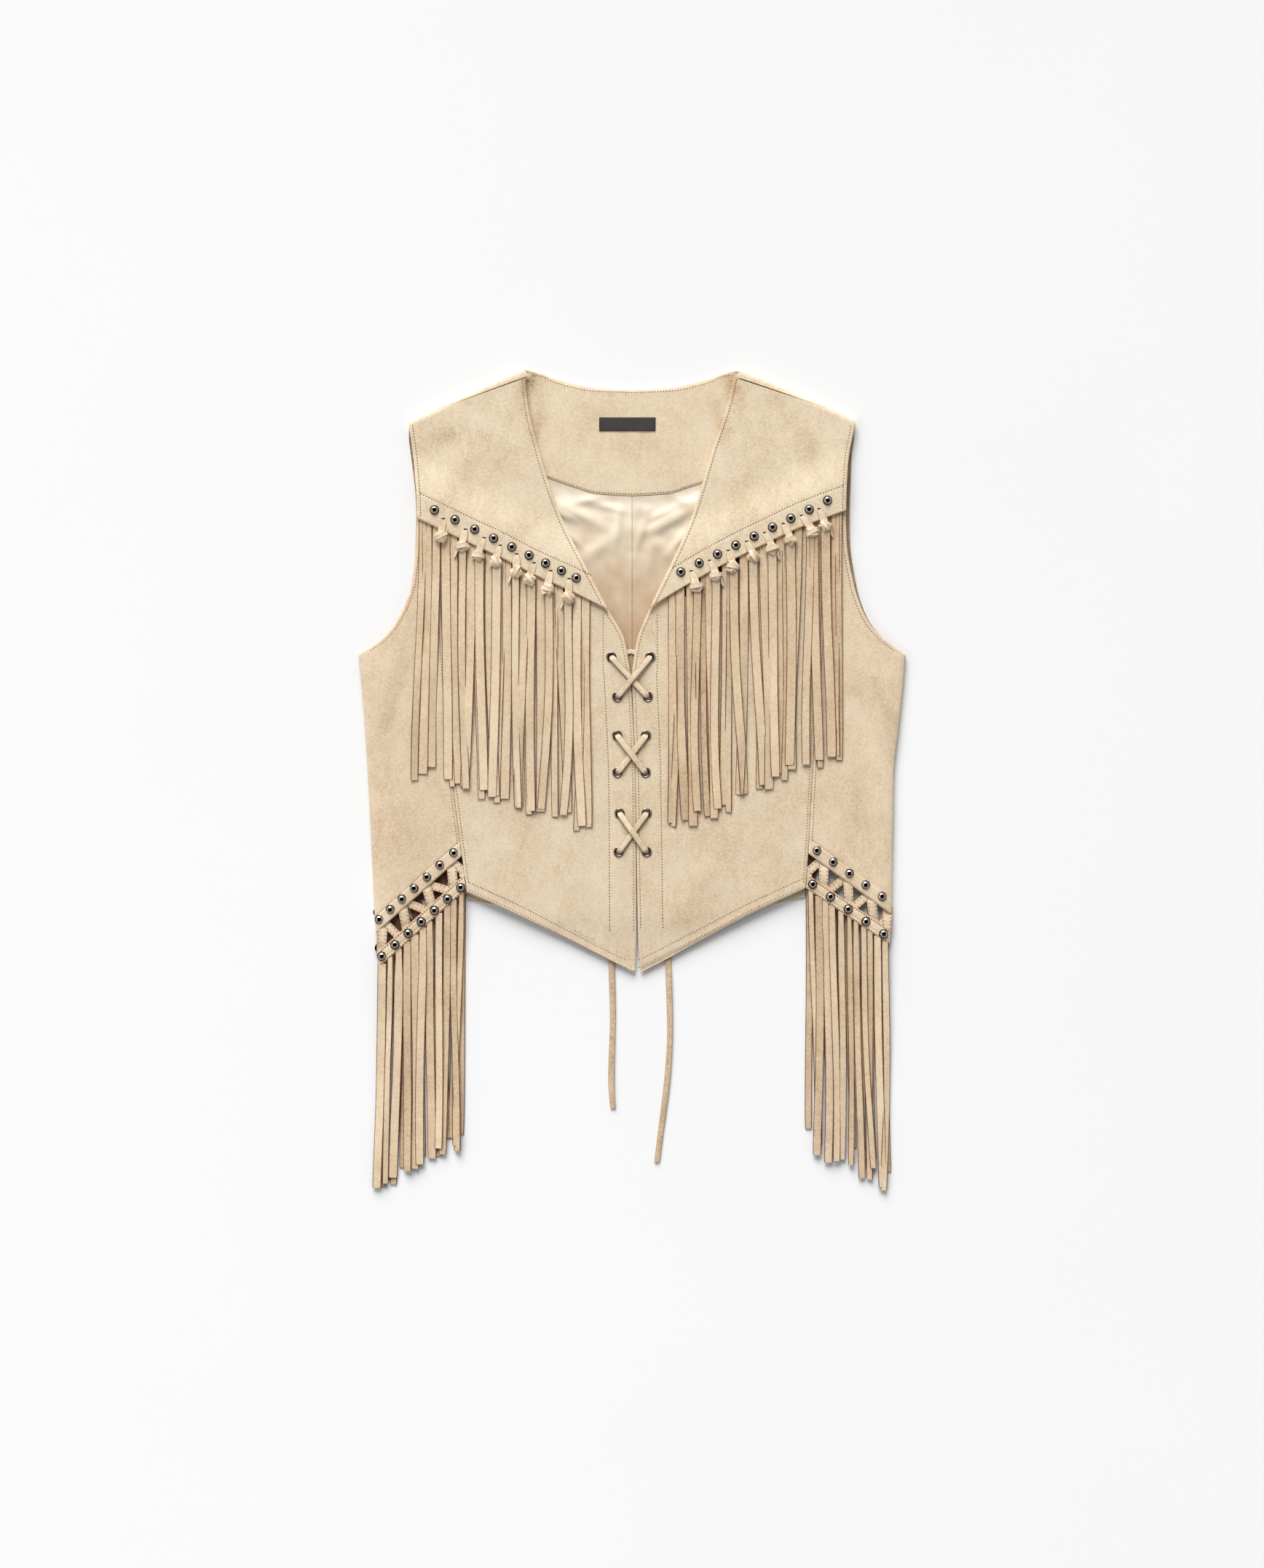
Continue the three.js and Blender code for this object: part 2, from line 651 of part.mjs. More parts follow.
// Half of the satin back lining that shows in the neck, from the facing to below the opening.
function makeLining({ name, sign }) {
  const columns = [0, 0.1, 0.25, 0.4, 0.55, 0.7, 0.85, 1];
  const rows = 9;
  const underFront = 14;
  const lowest = 80;
  const surface = (x, y, depth) => {
    return new THREE.Vector3(x, y, depth + foldRise(liningFolds, x, y) * smoothstep(y, 90, 130));
  };
  const place = (c, row) => {
    let top = facingHem[0].y;
    for (let step = 0; step < 4; step += 1) {
      top = trace(facingHem, 'across', 'y', c * (openingEdge(top, name) + underFront)) - 2 * seamGap;
    }
    const y = lerp(lowest, top, row / (rows - 1));
    const edge = openingEdge(Math.max(y, neckPlunge), name) + underFront;
    return [sign * lerp(seamGap / 2, edge, c), y];
  };
  return clothWall({ columns, rows, place, surface, from: insideHeight, wall: liningWall });
}

// Centre front: hem to under the yoke, from the opening to the princess seam, with its eyelet holes.
function makeFront({ name, sign }) {
  const columns = [0, 0.08, 0.22, 0.42, 0.62, 0.82, 1];
  const counts = [7, 4];
  const topAt = (across) => trace(yokeEdge, 'across', name, across) + frontUnderYoke;
  const innerTop = 156;
  const outerTop = topAt(princessSeam[5][name]);
  const place = (c, row) => {
    const hemAcross = lerp(frontHem[0].across, princessSeam[0][name], c);
    const bottom = trace(frontHem, 'across', 'y', hemAcross);
    const top = lerp(innerTop, outerTop, c);
    const y = climb([bottom, neckPlunge, top], counts)[row];
    const inner = openingEdge(y, name);
    const outer = trace(princessSeam, 'y', name, y) - seamGap / 2;
    return [sign * lerp(inner, outer, c), y];
  };
  const rows = 12;
  const panel = clothWall({ columns, rows, place, surface: onFront, wall: frontWall });
  const holes = eyelets.map((eyelet) => {
    const hole = new THREE.CylinderGeometry(eyeletHole, eyeletHole, 3 * frontWall, 10);
    hole.rotateX(Math.PI / 2);
    hole.translate(eyelet[name], eyelet.y, frontTop - frontWall / 2);
    return hole;
  });
  return cut(panel, holes);
}

// Side front: princess seam to the side fold and armhole, down to the studded hip edge.
function makeSideFront({ name, sign }) {
  const columns = [0, 0.25, 0.5, 0.7, 0.83, 0.92, 0.975, 1];
  const counts = [8, 6];
  const place = (c, row) => {
    const acrossAt = (height) => {
      return lerp(trace(princessSeam, 'y', name, height) + seamGap / 2, bodyEdge(height, name), c);
    };
    let bottom = lineHeight(hips[name].cut, lerp(hips[name].cut[0][0], hips[name].cut[1][0], c));
    for (let step = 0; step < 3; step += 1) {
      bottom = lineHeight(hips[name].cut, acrossAt(bottom));
    }
    const topAcross = lerp(princessSeam[5][name], yokeEdge[5].across, c);
    const top = trace(yokeEdge, 'across', name, topAcross) + frontUnderYoke;
    const y = climb([bottom, underarm, top], counts)[row];
    return [sign * acrossAt(y), y];
  };
  const panel = clothWall({ columns, rows: 15, place, surface: onFront, wall: frontWall });
  return studded(panel, `side_front_${name}`, onFront);
}

// Yoke: pointed at the neck edge, lower edge along the fringe, upper edge on the shoulder seam.
function makeYoke({ name, sign }) {
  const columns = [0, 0.07, 0.22, 0.38, 0.54, 0.7, 0.83, 0.91, 0.955, 0.985, 1];
  const shares = [0, 0.08, 0.18, 0.28, 0.4, 0.52, 0.66, 0.8, 0.9, 0.95, 0.98, 1];
  const { neck, along, inward } = shoulderFrame(name);
  const outerTip = yokeEdge[5].across - 1;
  const seamAt = (across, depth) => neck[1] + ((across - neck[0]) * along[1]) / along[0] + depth / inward[1];
  const inner = { bottom: 144.5, top: seamAt(neck[0], shoulderWrap + seamGap / 2) };
  const outer = {
    bottom: trace(yokeEdge, 'across', name, outerTip),
    top: seamAt(armhole[8][name], seamGap / 2 - flatToArc),
  };
  const innerTip = trace(neckEdge, 'y', name, inner.bottom);
  const place = (c, row) => {
    const share = shares[row];
    const innerY = lerp(inner.bottom, inner.top, share);
    const outerY = lerp(outer.bottom, outer.top, share);
    const across = lerp(openingEdge(innerY, name), bodyEdge(outerY, name), c);
    const edgeAcross = lerp(innerTip, outerTip, c);
    const bow = trace(yokeEdge, 'across', name, edgeAcross) - lerp(inner.bottom, outer.bottom, c);
    const pinned = smoothstep(c, 0, 0.07) * (1 - share);
    return [sign * across, lerp(innerY, outerY, c) + bow * pinned];
  };
  const panel = clothWall({ columns, rows: shares.length, place, surface: onYoke, wall: frontWall });
  return studded(panel, `yoke_${name}`, onYoke);
}

// Tight knot with its loop, which comes over the yoke's edge from a slot in the band.
function makeKnot({ name, sign }, knotRow) {
  const edgeAt = (across) => trace(yokeEdge, 'across', name, across);
  const [across, drop, slot] = [knotRow[name], knotRow[`${name}Drop`], knotRow[`${name}Slot`]];
  const x = sign * across;
  const edge = edgeAt(across);
  const centre = new THREE.Vector3(x, edge - drop, frontHeight(x, edge - drop) + knotSize[2]);
  const knot = new THREE.IcosahedronGeometry(1, 0);
  knot.scale(...knotSize);
  knot.translate(...centre.toArray());
  const over = (px, y) => new THREE.Vector3(px, y, onYoke(px, y, 0).z + 1.5 * seamGap + stripWall / 2);
  const stations = [centre, over(x, edge - 1), over(sign * slot, edgeAt(slot) + loopReach)]
    .map((point) => ({ centre: point, sideways: acrossBody, width: loopWidth }));
  return [knot, strip(stations, stripWall)];
}

// Chest fringe: strands fused at their roots to a strip under the yoke's edge, eight pairs knotted.
function makeChestFringe(side) {
  const { count, inner, outer, innerTip, outerTip } = chestStrands[side.name];
  const edgeAt = (across) => trace(yokeEdge, 'across', side.name, across);
  const pitch = (outer - inner) / count;
  const onTop = (x, y, depth) => {
    return new THREE.Vector3(x, y, frontHeight(x, y) + seamGap + backingWall - depth);
  };
  const backing = clothWall({
    columns: [0, 0.13, 0.27, 0.4, 0.53, 0.66, 0.77, 0.86, 0.93, 0.97, 1],
    rows: 2,
    place: (c, row) => {
      const across = lerp(inner, outer, c);
      return [side.sign * across, edgeAt(across) + (row ? backingTop : backingBottom)];
    },
    surface: onTop,
    wall: backingWall,
  });
  const strands = Array.from({ length: count }, (_, k) => {
    const root = inner + (k + 0.5) * pitch;
    const top = edgeAt(root) + (backingTop + backingBottom) / 2;
    const tipLine = lerp(innerTip, outerTip, (root - inner) / (outer - inner));
    const tip = tipLine + 2 * tipScatter * (scatter(k, 1) - 0.5);
    const width = pitch * (strandFill - 0.1 * scatter(k, 2));
    const shares = root > outer - rolledStrands ? [0, 0.1, 0.2, 0.32, 0.5, 0.72, 1] : [0, 0.2, 0.6, 1];
    const stations = shares.map((share) => {
      const sway = 2.2 * Math.sin(root * 0.06 + share * 3) * share;
      const y = lerp(top, tip, share);
      const x = side.sign * (root + sway);
      const lift = 0.6 * scatter(k, 3) * Math.sin(share * Math.PI);
      const cloth = Math.max(frontHeight(x - width / 2, y), frontHeight(x + width / 2, y));
      const z = cloth + seamGap + backingWall / 2 + lift;
      return { centre: new THREE.Vector3(x, y, z), sideways: acrossBody, width };
    });
    return strip(stations, stripWall);
  });
  const tied = knots.flatMap((knotRow) => makeKnot(side, knotRow));
  return join(backing, [...strands, ...tied]);
}

// Studded band along the bottom of a hip opening, and the same band of the back without studs.
function makeHipBand({ name, sign }, layer) {
  const surface = layer === 'front' ? onFront : onBack;
  const [[x0, y0], [x1, y1]] = hips[name].base;
  const rise = hipBandWidth * Math.hypot(1, (y1 - y0) / (x1 - x0));
  const band = clothWall({
    columns: [0, 0.2, 0.4, 0.6, 0.75, 0.87, 0.95, 1],
    rows: 2,
    place: (c, row) => {
      const inner = trace(princessSeam, 'y', name, row ? y0 + rise : y0) + seamGap;
      const across = lerp(inner, x1, c);
      return [sign * across, lineHeight(hips[name].base, across) + (row ? rise : 0)];
    },
    surface,
    wall: layer === 'front' ? frontWall : backWall,
  });
  return layer === 'front' ? studded(band, `hip_band_front_${name}`, onFront) : band;
}

// Triangle with each side moved in by its own distance, as plan points.
function insetTriangle(corners, insets) {
  const centre = new THREE.Vector2();
  corners.forEach((corner) => centre.addScaledVector(corner, 1 / 3));
  const lines = corners.map((corner, k) => {
    const next = corners[(k + 1) % 3];
    const along = new THREE.Vector2().subVectors(next, corner).normalize();
    const inward = new THREE.Vector2(-along.y, along.x);
    if (inward.dot(new THREE.Vector2().subVectors(centre, corner)) < 0) {
      inward.negate();
    }
    return { point: corner.clone().addScaledVector(inward, insets[k]), along };
  });
  return lines.map((line, k) => {
    const other = lines[(k + 2) % 3];
    const gap = new THREE.Vector2().subVectors(other.point, line.point);
    const share = gap.cross(other.along) / line.along.cross(other.along);
    return line.point.clone().addScaledVector(line.along, share);
  });
}

// Zigzag lattice of strips between the cut hip edge and the band, its triangular gaps cut through.
function makeLattice({ name, sign }, layer) {
  const { cut: cutEdge, base } = hips[name];
  const slope = (base[1][1] - base[0][1]) / (base[1][0] - base[0][0]);
  const rise = hipBandWidth * Math.hypot(1, slope);
  const clear = 2 * seamGap;
  const upper = (across) => new THREE.Vector2(across, lineHeight(cutEdge, across) - clear);
  const lower = (across) => new THREE.Vector2(across, lineHeight(base, across) + rise + clear);
  const anchors = latticeAnchors[name];
  const outer = Math.min(cutEdge[1][0], base[1][0]) - 0.5;
  const seam = (y) => trace(princessSeam, 'y', name, y) + seamGap;
  const [top, bottom] = [seam(cutEdge[0][1]), seam(lower(base[0][0]).y)];
  const outline = [upper(top), upper(outer), lower(outer), lower(bottom)];
  const half = latticeStrip / 2;
  const gaps = [];
  for (let k = 0; k < anchors.length - 1; k += 1) {
    const [near, far] = [anchors[k], anchors[k + 1]];
    gaps.push(insetTriangle([upper(far), upper(near), lower(near)], [latticeSelvedge, half, half]));
    gaps.push(insetTriangle([lower(near), lower(far), upper(far)], [latticeSelvedge, half, half]));
  }
  const shape = new THREE.Shape(outline);
  shape.holes = gaps.map((gap) => new THREE.Path(gap));
  const plate = new THREE.ExtrudeGeometry(shape, { depth: stripWall, bevelEnabled: false, steps: 1 });
  plate.deleteAttribute('normal');
  plate.deleteAttribute('uv');
  const merged = mergeVertices(plate, 1e-4);
  const places = merged.attributes.position;
  const vertices = Array.from({ length: places.count }, (_, k) => {
    const x = sign * places.getX(k);
    const y = places.getY(k);
    const depth = places.getZ(k);
    const trim = layer === 'front' ? frontWall - stripWall : backWall - stripWall;
    return layer === 'front' ? onFront(x, y, depth + trim / 2) : onBack(x, y, depth + trim / 2);
  });
  const indices = Array.from(merged.index.array);
  const triangles = Array.from({ length: indices.length / 3 }, (_, k) => indices.slice(3 * k, 3 * k + 3));
  return closedGeometry(vertices, triangles);
}

// Hip fringe: strands hanging from a strip just under the band, lying on the floor or on each other.
function makeHipFringe({ name, sign }, layer) {
  const { count, innerTip, outerTip } = hipStrands[`${layer}_${name}`];
  const isFront = layer === 'front';
  const x0 = hips[name].base[0][0] + seamGap;
  const x1 = hips[name].base[1][0];
  const rootLine = (across) => lineHeight(hips[name].base, across) - seamGap * 1.5;
  const surface = isFront ? onFront : onBack;
  const trim = isFront ? frontWall - backingWall : 0;
  const root = clothWall({
    columns: [0, 0.25, 0.5, 0.75, 0.9, 1],
    rows: 2,
    place: (c, row) => {
      const across = lerp(x0, x1, c);
      return [sign * across, rootLine(across) - (row ? 0 : hipRootHeight)];
    },
    surface,
    from: trim,
    wall: backingWall,
  });
  const pitch = (x1 - x0) / count;
  const rest = strandFloor + stripWall / 2 + (isFront ? stripWall + layerGap : 0);
  const strands = Array.from({ length: count }, (_, k) => {
    const across = x0 + (k + 0.5) * pitch;
    const top = rootLine(across) - hipStrandStart;
    const tip = lerp(innerTip, outerTip, (k + 0.5) / count) + 6 * (scatter(k, isFront ? 4 : 5) - 0.5);
    const width = pitch * (strandFill - 0.08 * scatter(k, 6));
    const start = surface(sign * across, top, trim + backingWall / 2).z;
    const stations = [0, 0.12, 0.36, 1].map((share) => {
      const sway = (isFront ? 1 : -1) * 1.6 * Math.sin(across * 0.05 + share * 2.6) * share;
      const x = sign * (across + sway + hipLean * share);
      const z = lerp(start, rest, smoothstep(share, 0.02, 0.3));
      const centre = new THREE.Vector3(x, lerp(top, tip, share), z);
      return { centre, sideways: acrossBody, width };
    });
    return strip(stations, stripWall);
  });
  return join(root, strands);
}

// Eyelet: a barrel through the front with a rounded rim on its outer face.
function makeEyelet(x, y) {
  const base = frontTop - frontWall;
  const rimBase = frontTop + seamGap;
  const profile = [
    [eyeletBore, base], [eyeletBarrel, base], [eyeletBarrel, rimBase], [eyeletRim, rimBase],
    [(eyeletRim + eyeletBore) / 2, frontTop + eyeletCrown], [eyeletBore, frontTop + 0.7 * eyeletCrown],
    [eyeletBore, base],
  ].map(([radius, height]) => new THREE.Vector2(radius, height));
  const ring = new THREE.LatheGeometry(profile, 8);
  ring.rotateX(Math.PI / 2);
  ring.translate(x, y, 0);
  return ring;
}

// Route of the lace through the eyelets, as strip stations: inside runs, bores and crosses.
function laceStations() {
  const hole = (row, side) => new THREE.Vector2(eyelets[row][side], eyelets[row].y);
  const route = [
    { from: [5, 'right'], to: [4, 'left'], over: false },
    { from: [3, 'left'], to: [2, 'right'], over: true },
    { from: [1, 'right'], to: [0, 'left'], over: true },
    { from: [0, 'right'], to: [1, 'left'], over: false },
    { from: [2, 'left'], to: [3, 'right'], over: false },
    { from: [4, 'right'], to: [5, 'left'], over: true },
  ];
  const stations = [];
  const quarter = Math.PI / 2;
  const insideTurns = [quarter, quarter, quarter, 2 * quarter, -quarter, -quarter, -quarter];
  const add = (place, z, turn, width = laceWidth) => {
    const sideways = new THREE.Vector3(-Math.sin(turn), Math.cos(turn), 0);
    stations.push({ centre: new THREE.Vector3(place.x, place.y, z), sideways, width });
  };
  const along = (start, turn, distance) => {
    return new THREE.Vector2(start.x + Math.cos(turn) * distance, start.y + Math.sin(turn) * distance);
  };
  route.forEach((cross, k) => {
    const start = hole(...cross.from);
    const end = hole(...cross.to);
    const turn = Math.atan2(end.y - start.y, end.x - start.x);
    const length = start.distanceTo(end);
    const mid = frontTop + (cross.over ? laceOverCross : laceUnderCross);
    const rim = frontTop + laceOverRim;
    add(along(start, insideTurns[k], -4.5), laceInside, insideTurns[k]);
    add(along(start, insideTurns[k], -1.6), laceInside + 0.2, insideTurns[k]);
    add(along(start, insideTurns[k], -0.3), laceInside + 1.2, insideTurns[k], boreWidth);
    add(along(start, turn, 0.3), frontTop + 0.6, turn, boreWidth);
    add(along(start, turn, 1.6), rim - 0.35, turn);
    add(along(start, turn, 5), rim, turn);
    add(along(start, turn, length * 0.36), lerp(rim, mid, 0.75), turn);
    add(along(start, turn, length * 0.5), mid, turn);
    add(along(start, turn, length * 0.64), lerp(rim, mid, 0.75), turn);
    add(along(start, turn, length - 5), rim, turn);
    add(along(start, turn, length - 1.6), rim - 0.35, turn);
    add(along(start, turn, length - 0.3), frontTop + 0.6, turn, boreWidth);
    const inside = insideTurns[k + 1];
    add(along(end, inside, 0.3), laceInside + 1.2, inside, boreWidth);
    add(along(end, inside, 1.6), laceInside + 0.2, inside);
    add(along(end, inside, 4.5), laceInside, inside);
  });
  return stations;
}

function makeLace() {
  return strip(laceStations(), laceWall);
}

function makeLaceTail({ name }) {
  const curve = new THREE.CatmullRomCurve3(laceTails[name].map((point) => new THREE.Vector3(...point)));
  const stations = curve.getSpacedPoints(15).map((centre) => {
    return { centre, sideways: acrossBody, width: laceWidth };
  });
  return strip(stations, laceWall, 8);
}

function makeLabel() {
  const label = new THREE.BoxGeometry(...labelSize);
  label.translate(...labelCentre, insideHeight + facingWall + seamGap + labelSize[2] / 2);
  return label;
}

const vest = new THREE.Group();

function addPiece(name, geometry, material) {
  const mesh = new THREE.Mesh(geometry, material);
  mesh.name = name;
  vest.add(mesh);
}

addPiece('back', makeBack(), suedeMaterial());
addPiece('neck_facing', makeFacing(), suedeMaterial());
addPiece('label', makeLabel(), labelMaterial());
for (const side of sides) {
  addPiece(`lining_${side.name}`, makeLining(side), satinMaterial());
  addPiece(`front_${side.name}`, makeFront(side), suedeMaterial());
  addPiece(`side_front_${side.name}`, makeSideFront(side), suedeMaterial());
  addPiece(`yoke_${side.name}`, makeYoke(side), suedeMaterial());
  addPiece(`fringe_chest_${side.name}`, makeChestFringe(side), fringeMaterial());
  for (const layer of ['front', 'back']) {
    addPiece(`hip_band_${layer}_${side.name}`, makeHipBand(side, layer), suedeMaterial());
    addPiece(`hip_lattice_${layer}_${side.name}`, makeLattice(side, layer), suedeMaterial());
    addPiece(`fringe_hip_${layer}_${side.name}`, makeHipFringe(side, layer), fringeMaterial());
  }
  eyelets.forEach((eyelet, row) => {
    addPiece(`eyelet_${side.name}_${row + 1}`, makeEyelet(eyelet[side.name], eyelet.y), metalMaterial());
  });
  addPiece(`lace_tail_${side.name}`, makeLaceTail(side), fringeMaterial());
}
addPiece('lace', makeLace(), fringeMaterial());

export default vest;
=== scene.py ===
import json
import math
import random

import bmesh
import bpy
from mathutils import Matrix, Vector, noise

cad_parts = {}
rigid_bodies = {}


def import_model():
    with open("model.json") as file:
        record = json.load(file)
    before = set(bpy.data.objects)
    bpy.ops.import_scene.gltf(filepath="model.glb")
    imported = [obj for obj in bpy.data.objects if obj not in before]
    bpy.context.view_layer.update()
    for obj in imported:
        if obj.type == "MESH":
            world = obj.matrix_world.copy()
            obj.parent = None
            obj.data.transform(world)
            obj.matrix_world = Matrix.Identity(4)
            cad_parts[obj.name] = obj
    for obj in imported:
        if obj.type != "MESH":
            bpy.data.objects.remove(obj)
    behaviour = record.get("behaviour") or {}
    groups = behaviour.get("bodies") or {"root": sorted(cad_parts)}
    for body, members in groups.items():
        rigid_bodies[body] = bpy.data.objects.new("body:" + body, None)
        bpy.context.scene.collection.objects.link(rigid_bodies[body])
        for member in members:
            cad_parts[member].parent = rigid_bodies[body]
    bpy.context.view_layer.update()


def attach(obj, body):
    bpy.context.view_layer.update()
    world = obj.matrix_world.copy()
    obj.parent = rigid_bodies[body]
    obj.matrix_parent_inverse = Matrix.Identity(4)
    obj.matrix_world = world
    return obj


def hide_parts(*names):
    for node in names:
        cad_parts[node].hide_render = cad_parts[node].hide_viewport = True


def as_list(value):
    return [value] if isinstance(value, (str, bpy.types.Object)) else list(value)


# Suede fringe vest, lying on its back. Tables and helpers work in millimetres and pieces are made in metres.
# The right side, as worn, is at negative X.
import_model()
mm = 0.001
sides = (("right", -1), ("left", 1))
rng = random.Random(11)

cloth = {
    "seamGap": 0.3,
    "frontWall": 1.6,
    "backWall": 1.4,
    "facingWall": 1.4,
    "liningWall": 1.0,
    "frontTop": 6.7,
    "sideRoll": 14,
    "sideDrop": 2.5,
    "armholeDrop": 0.9,
    "backEdgeRoll": 6,
    "backEdgeRise": 0.9,
    "hemDrop": 2.4,
    "hemDropLength": 45,
    "underarm": 106.5,
    "neckPlunge": 93,
    "shoulderWrap": 7.5,
    "gridStep": 3.0,
}
insideHeight = cloth["backWall"] + cloth["seamGap"]
shoulderRadius = cloth["frontTop"] / 2
flatToArc = (math.pi / 2 - 1) * shoulderRadius
yokeStack = cloth["frontWall"] + 2.1

# Rows of (height, right, left): half-widths of the body and its openings.
sideSeam = [
    (-160, 216, 218.5), (-102, 220, 221.3), (-54, 222, 222), (5, 225, 223),
    (44, 227.5, 227), (82, 230.5, 231), (106.5, 233, 233),
]
armhole = [
    (106.5, 233, 233), (120, 213, 214.5), (134.5, 201, 201.5), (150, 193, 194), (167, 187.5, 188.8),
    (205, 184, 182.8), (230, 183, 182.3), (267, 185.5, 183.8), (304.5, 190.3, 190.3),
]
armholePeek = [(106.5, 0, 0), (180, 0.2, 2.5), (250, 1.2, 3.4), (285, 2, 2), (304.5, 0, 0)]
neckEdge = [
    (93, 1.9, 0.2), (118, 6, 4), (146, 21, 15), (180, 38.5, 31.5), (226, 61, 51.5), (280, 79, 68),
    (325, 89.3, 82.6), (350, 91, 87.5),
]
centreFront = [  # height, x, half gap
    (-164, 5, 2.2), (-130, 4.4, 0.7), (-60, 3.7, 0.3), (0, 3, 0.15), (93, -0.9, 0.4),
]
princessSeam = [
    (-93, 141, 148), (-66, 144.7, 149.9), (-54, 146.3, 150.7), (16, 154.5, 154.4), (100, 160, 159),
    (240, 168, 167),
]

# Rows of (across, height).
frontHem = [(3, -164), (15, -158.4), (50, -140.3), (100, -114.5), (148, -92.5)]
backHem = [(0, -109), (80, -108.5), (115, -106.5), (148, -100)]
backNeck = [(0, 332), (30, 333.4), (50, 337.2), (66, 341.6), (78, 346), (88, 348.9)]
neckCorner = [(86, 348.3), (89, 349.2), (91.5, 350.2), (93.5, 353), (94.6, 357)]
facingHem = [(0, 242), (30, 243.8), (48, 249), (70, 256.6), (98, 268)]
yokeEdge = [  # across, right, left
    (15, 142, 146.3), (50, 159.5, 167.6), (80, 173, 184.2), (110, 188.5, 199), (140, 202.5, 213.2),
    (183, 223, 229.5),
]
shoulders = {"right": ((91, 350.5), (190.3, 304.5)), "left": ((87.5, 351), (190.3, 306.5))}
hipCut = {"right": ((144.9, -65), (217.4, -130.2)), "left": ((150.3, -63.1), (220.9, -115))}
hipBase = {"right": ((141, -93.2), (215.5, -159.9)), "left": ((148, -92.4), (219.5, -140.6))}

# Soft folds: x, y, direction in degrees, half-length, half-width, rise.
clothFolds = [
    (152, 288, -61, 30, 12, 1.3), (128, 300, -55, 30, 12, -0.7), (212, 72, -72, 36, 9, 1.1),
    (196, 52, -66, 40, 10, -0.7), (-163, 290, 40, 24, 14, -0.8), (-143, 268, 62, 24, 12, 0.9),
    (-208, 80, 74, 34, 10, 0.9), (-190, -20, 82, 45, 13, 0.6), (70, -70, 65, 34, 16, 0.6),
]
liningFolds = [
    (-46, 226, -24, 22, 5, 1.5), (-30, 196, 40, 24, 6, 1.1), (-22, 160, 68, 26, 5, 1.0),
    (34, 222, 28, 22, 5, 1.6), (52, 236, 10, 16, 4, 1.2), (14, 178, 82, 34, 5, 1.1),
    (26, 196, -52, 18, 5, 0.9), (-12, 216, 84, 20, 3.2, 0.8), (8, 210, 74, 18, 3, 0.7),
    (-52, 206, -38, 14, 3.2, 0.8), (40, 204, 52, 16, 3.4, 0.8), (-8, 130, 86, 20, 4, 0.6),
    (-58, 226, -30, 12, 2.6, 1.2), (-38, 238, 12, 14, 2.4, 0.9), (44, 236, -34, 12, 2.4, 1.0),
    (24, 226, 24, 12, 2.6, 0.9), (58, 214, 36, 14, 2.8, 1.0), (-20, 232, -14, 14, 2.6, 0.8),
]
# Patches drawn darker (positive) or lighter, in the same columns. The last four rows are painted shade in the
# neck corners.
toneAndShadePatches = [
    (-162, 292, 35, 16, 9, 0.5), (-142, 262, 60, 18, 9, 0.42), (-112, 270, 80, 22, 10, 0.2),
    (-70, 236, 70, 24, 8, 0.25), (-96, 216, 65, 26, 9, 0.24), (-128, 306, -25, 30, 7, -0.25),
    (150, 290, -60, 28, 8, 0.4), (120, 262, -58, 30, 9, 0.2), (168, 262, -66, 24, 7, -0.3),
    (92, 250, 70, 28, 9, 0.22), (214, 66, -70, 30, 7, 0.42), (198, 40, -66, 32, 7, -0.25),
    (-206, 60, 76, 30, 7, 0.35), (-196, -40, 84, 44, 10, 0.22), (-176, -70, 60, 24, 12, 0.18),
    (-90, -60, 70, 40, 14, 0.2), (80, -66, 68, 36, 14, 0.22), (44, -110, 60, 22, 10, 0.2),
    (-40, -116, -60, 20, 9, 0.22), (190, -30, 88, 36, 12, 0.2), (-60, 60, 80, 30, 12, 0.16),
    (60, 74, -80, 26, 12, 0.18), (20, 284, 20, 40, 12, 0.16), (-40, 300, -20, 26, 9, 0.2),
    # Painted shade in the inner corners of the neck and down the V edges.
    (-87, 340, 76, 20, 9, 1.25), (-79, 310, 78, 26, 6, 0.6), (84, 340, -76, 20, 9, 1.25),
    (74, 308, -76, 26, 6, 0.6),
]


def clamp(value, low=0.0, high=1.0):
    return max(low, min(high, value))


def lerp(a, b, t):
    return a + (b - a) * t


def smooth(value, low, high):
    t = clamp((value - low) / (high - low))
    return t * t * (3 - 2 * t)


def evenly(low, high, count):
    return [lerp(low, high, k / count) for k in range(count + 1)]


def column(side):
    return 1 if side == "right" else 2


def trace(rows, at, value=1):
    # Monotone cubic through one column of a table.
    last = len(rows) - 1
    at = clamp(at, rows[0][0], rows[last][0])
    k = 0
    while k < last - 1 and at > rows[k + 1][0]:
        k += 1

    def secant(n):
        return (rows[n + 1][value] - rows[n][value]) / (rows[n + 1][0] - rows[n][0])

    def slope(n):
        if n in (0, last):
            return secant(min(n, last - 1))
        before, after = secant(n - 1), secant(n)
        return 0 if before * after <= 0 else 2 * before * after / (before + after)

    span = rows[k + 1][0] - rows[k][0]
    f = (at - rows[k][0]) / span
    return (
        (1 + 2 * f) * (1 - f) ** 2 * rows[k][value] + f * (1 - f) ** 2 * span * slope(k)
        + f * f * (3 - 2 * f) * rows[k + 1][value] + f * f * (f - 1) * span * slope(k + 1)
    )


def sideOf(x):
    return "right" if x < 0 else "left"


def bodyEdge(y, side):
    return trace(sideSeam if y < cloth["underarm"] else armhole, y, column(side))


def backEdge(y, side):
    return bodyEdge(y, side) + (0 if y < cloth["underarm"] else trace(armholePeek, y, column(side)))


def openingEdge(y, side):
    if y >= cloth["neckPlunge"]:
        return trace(neckEdge, y, column(side))
    line = trace(centreFront, y, 1)
    return (-line if side == "right" else line) + trace(centreFront, y, 2)


def lineHeight(ends, across):
    (x0, y0), (x1, y1) = ends
    return y0 + (y1 - y0) * (across - x0) / (x1 - x0)


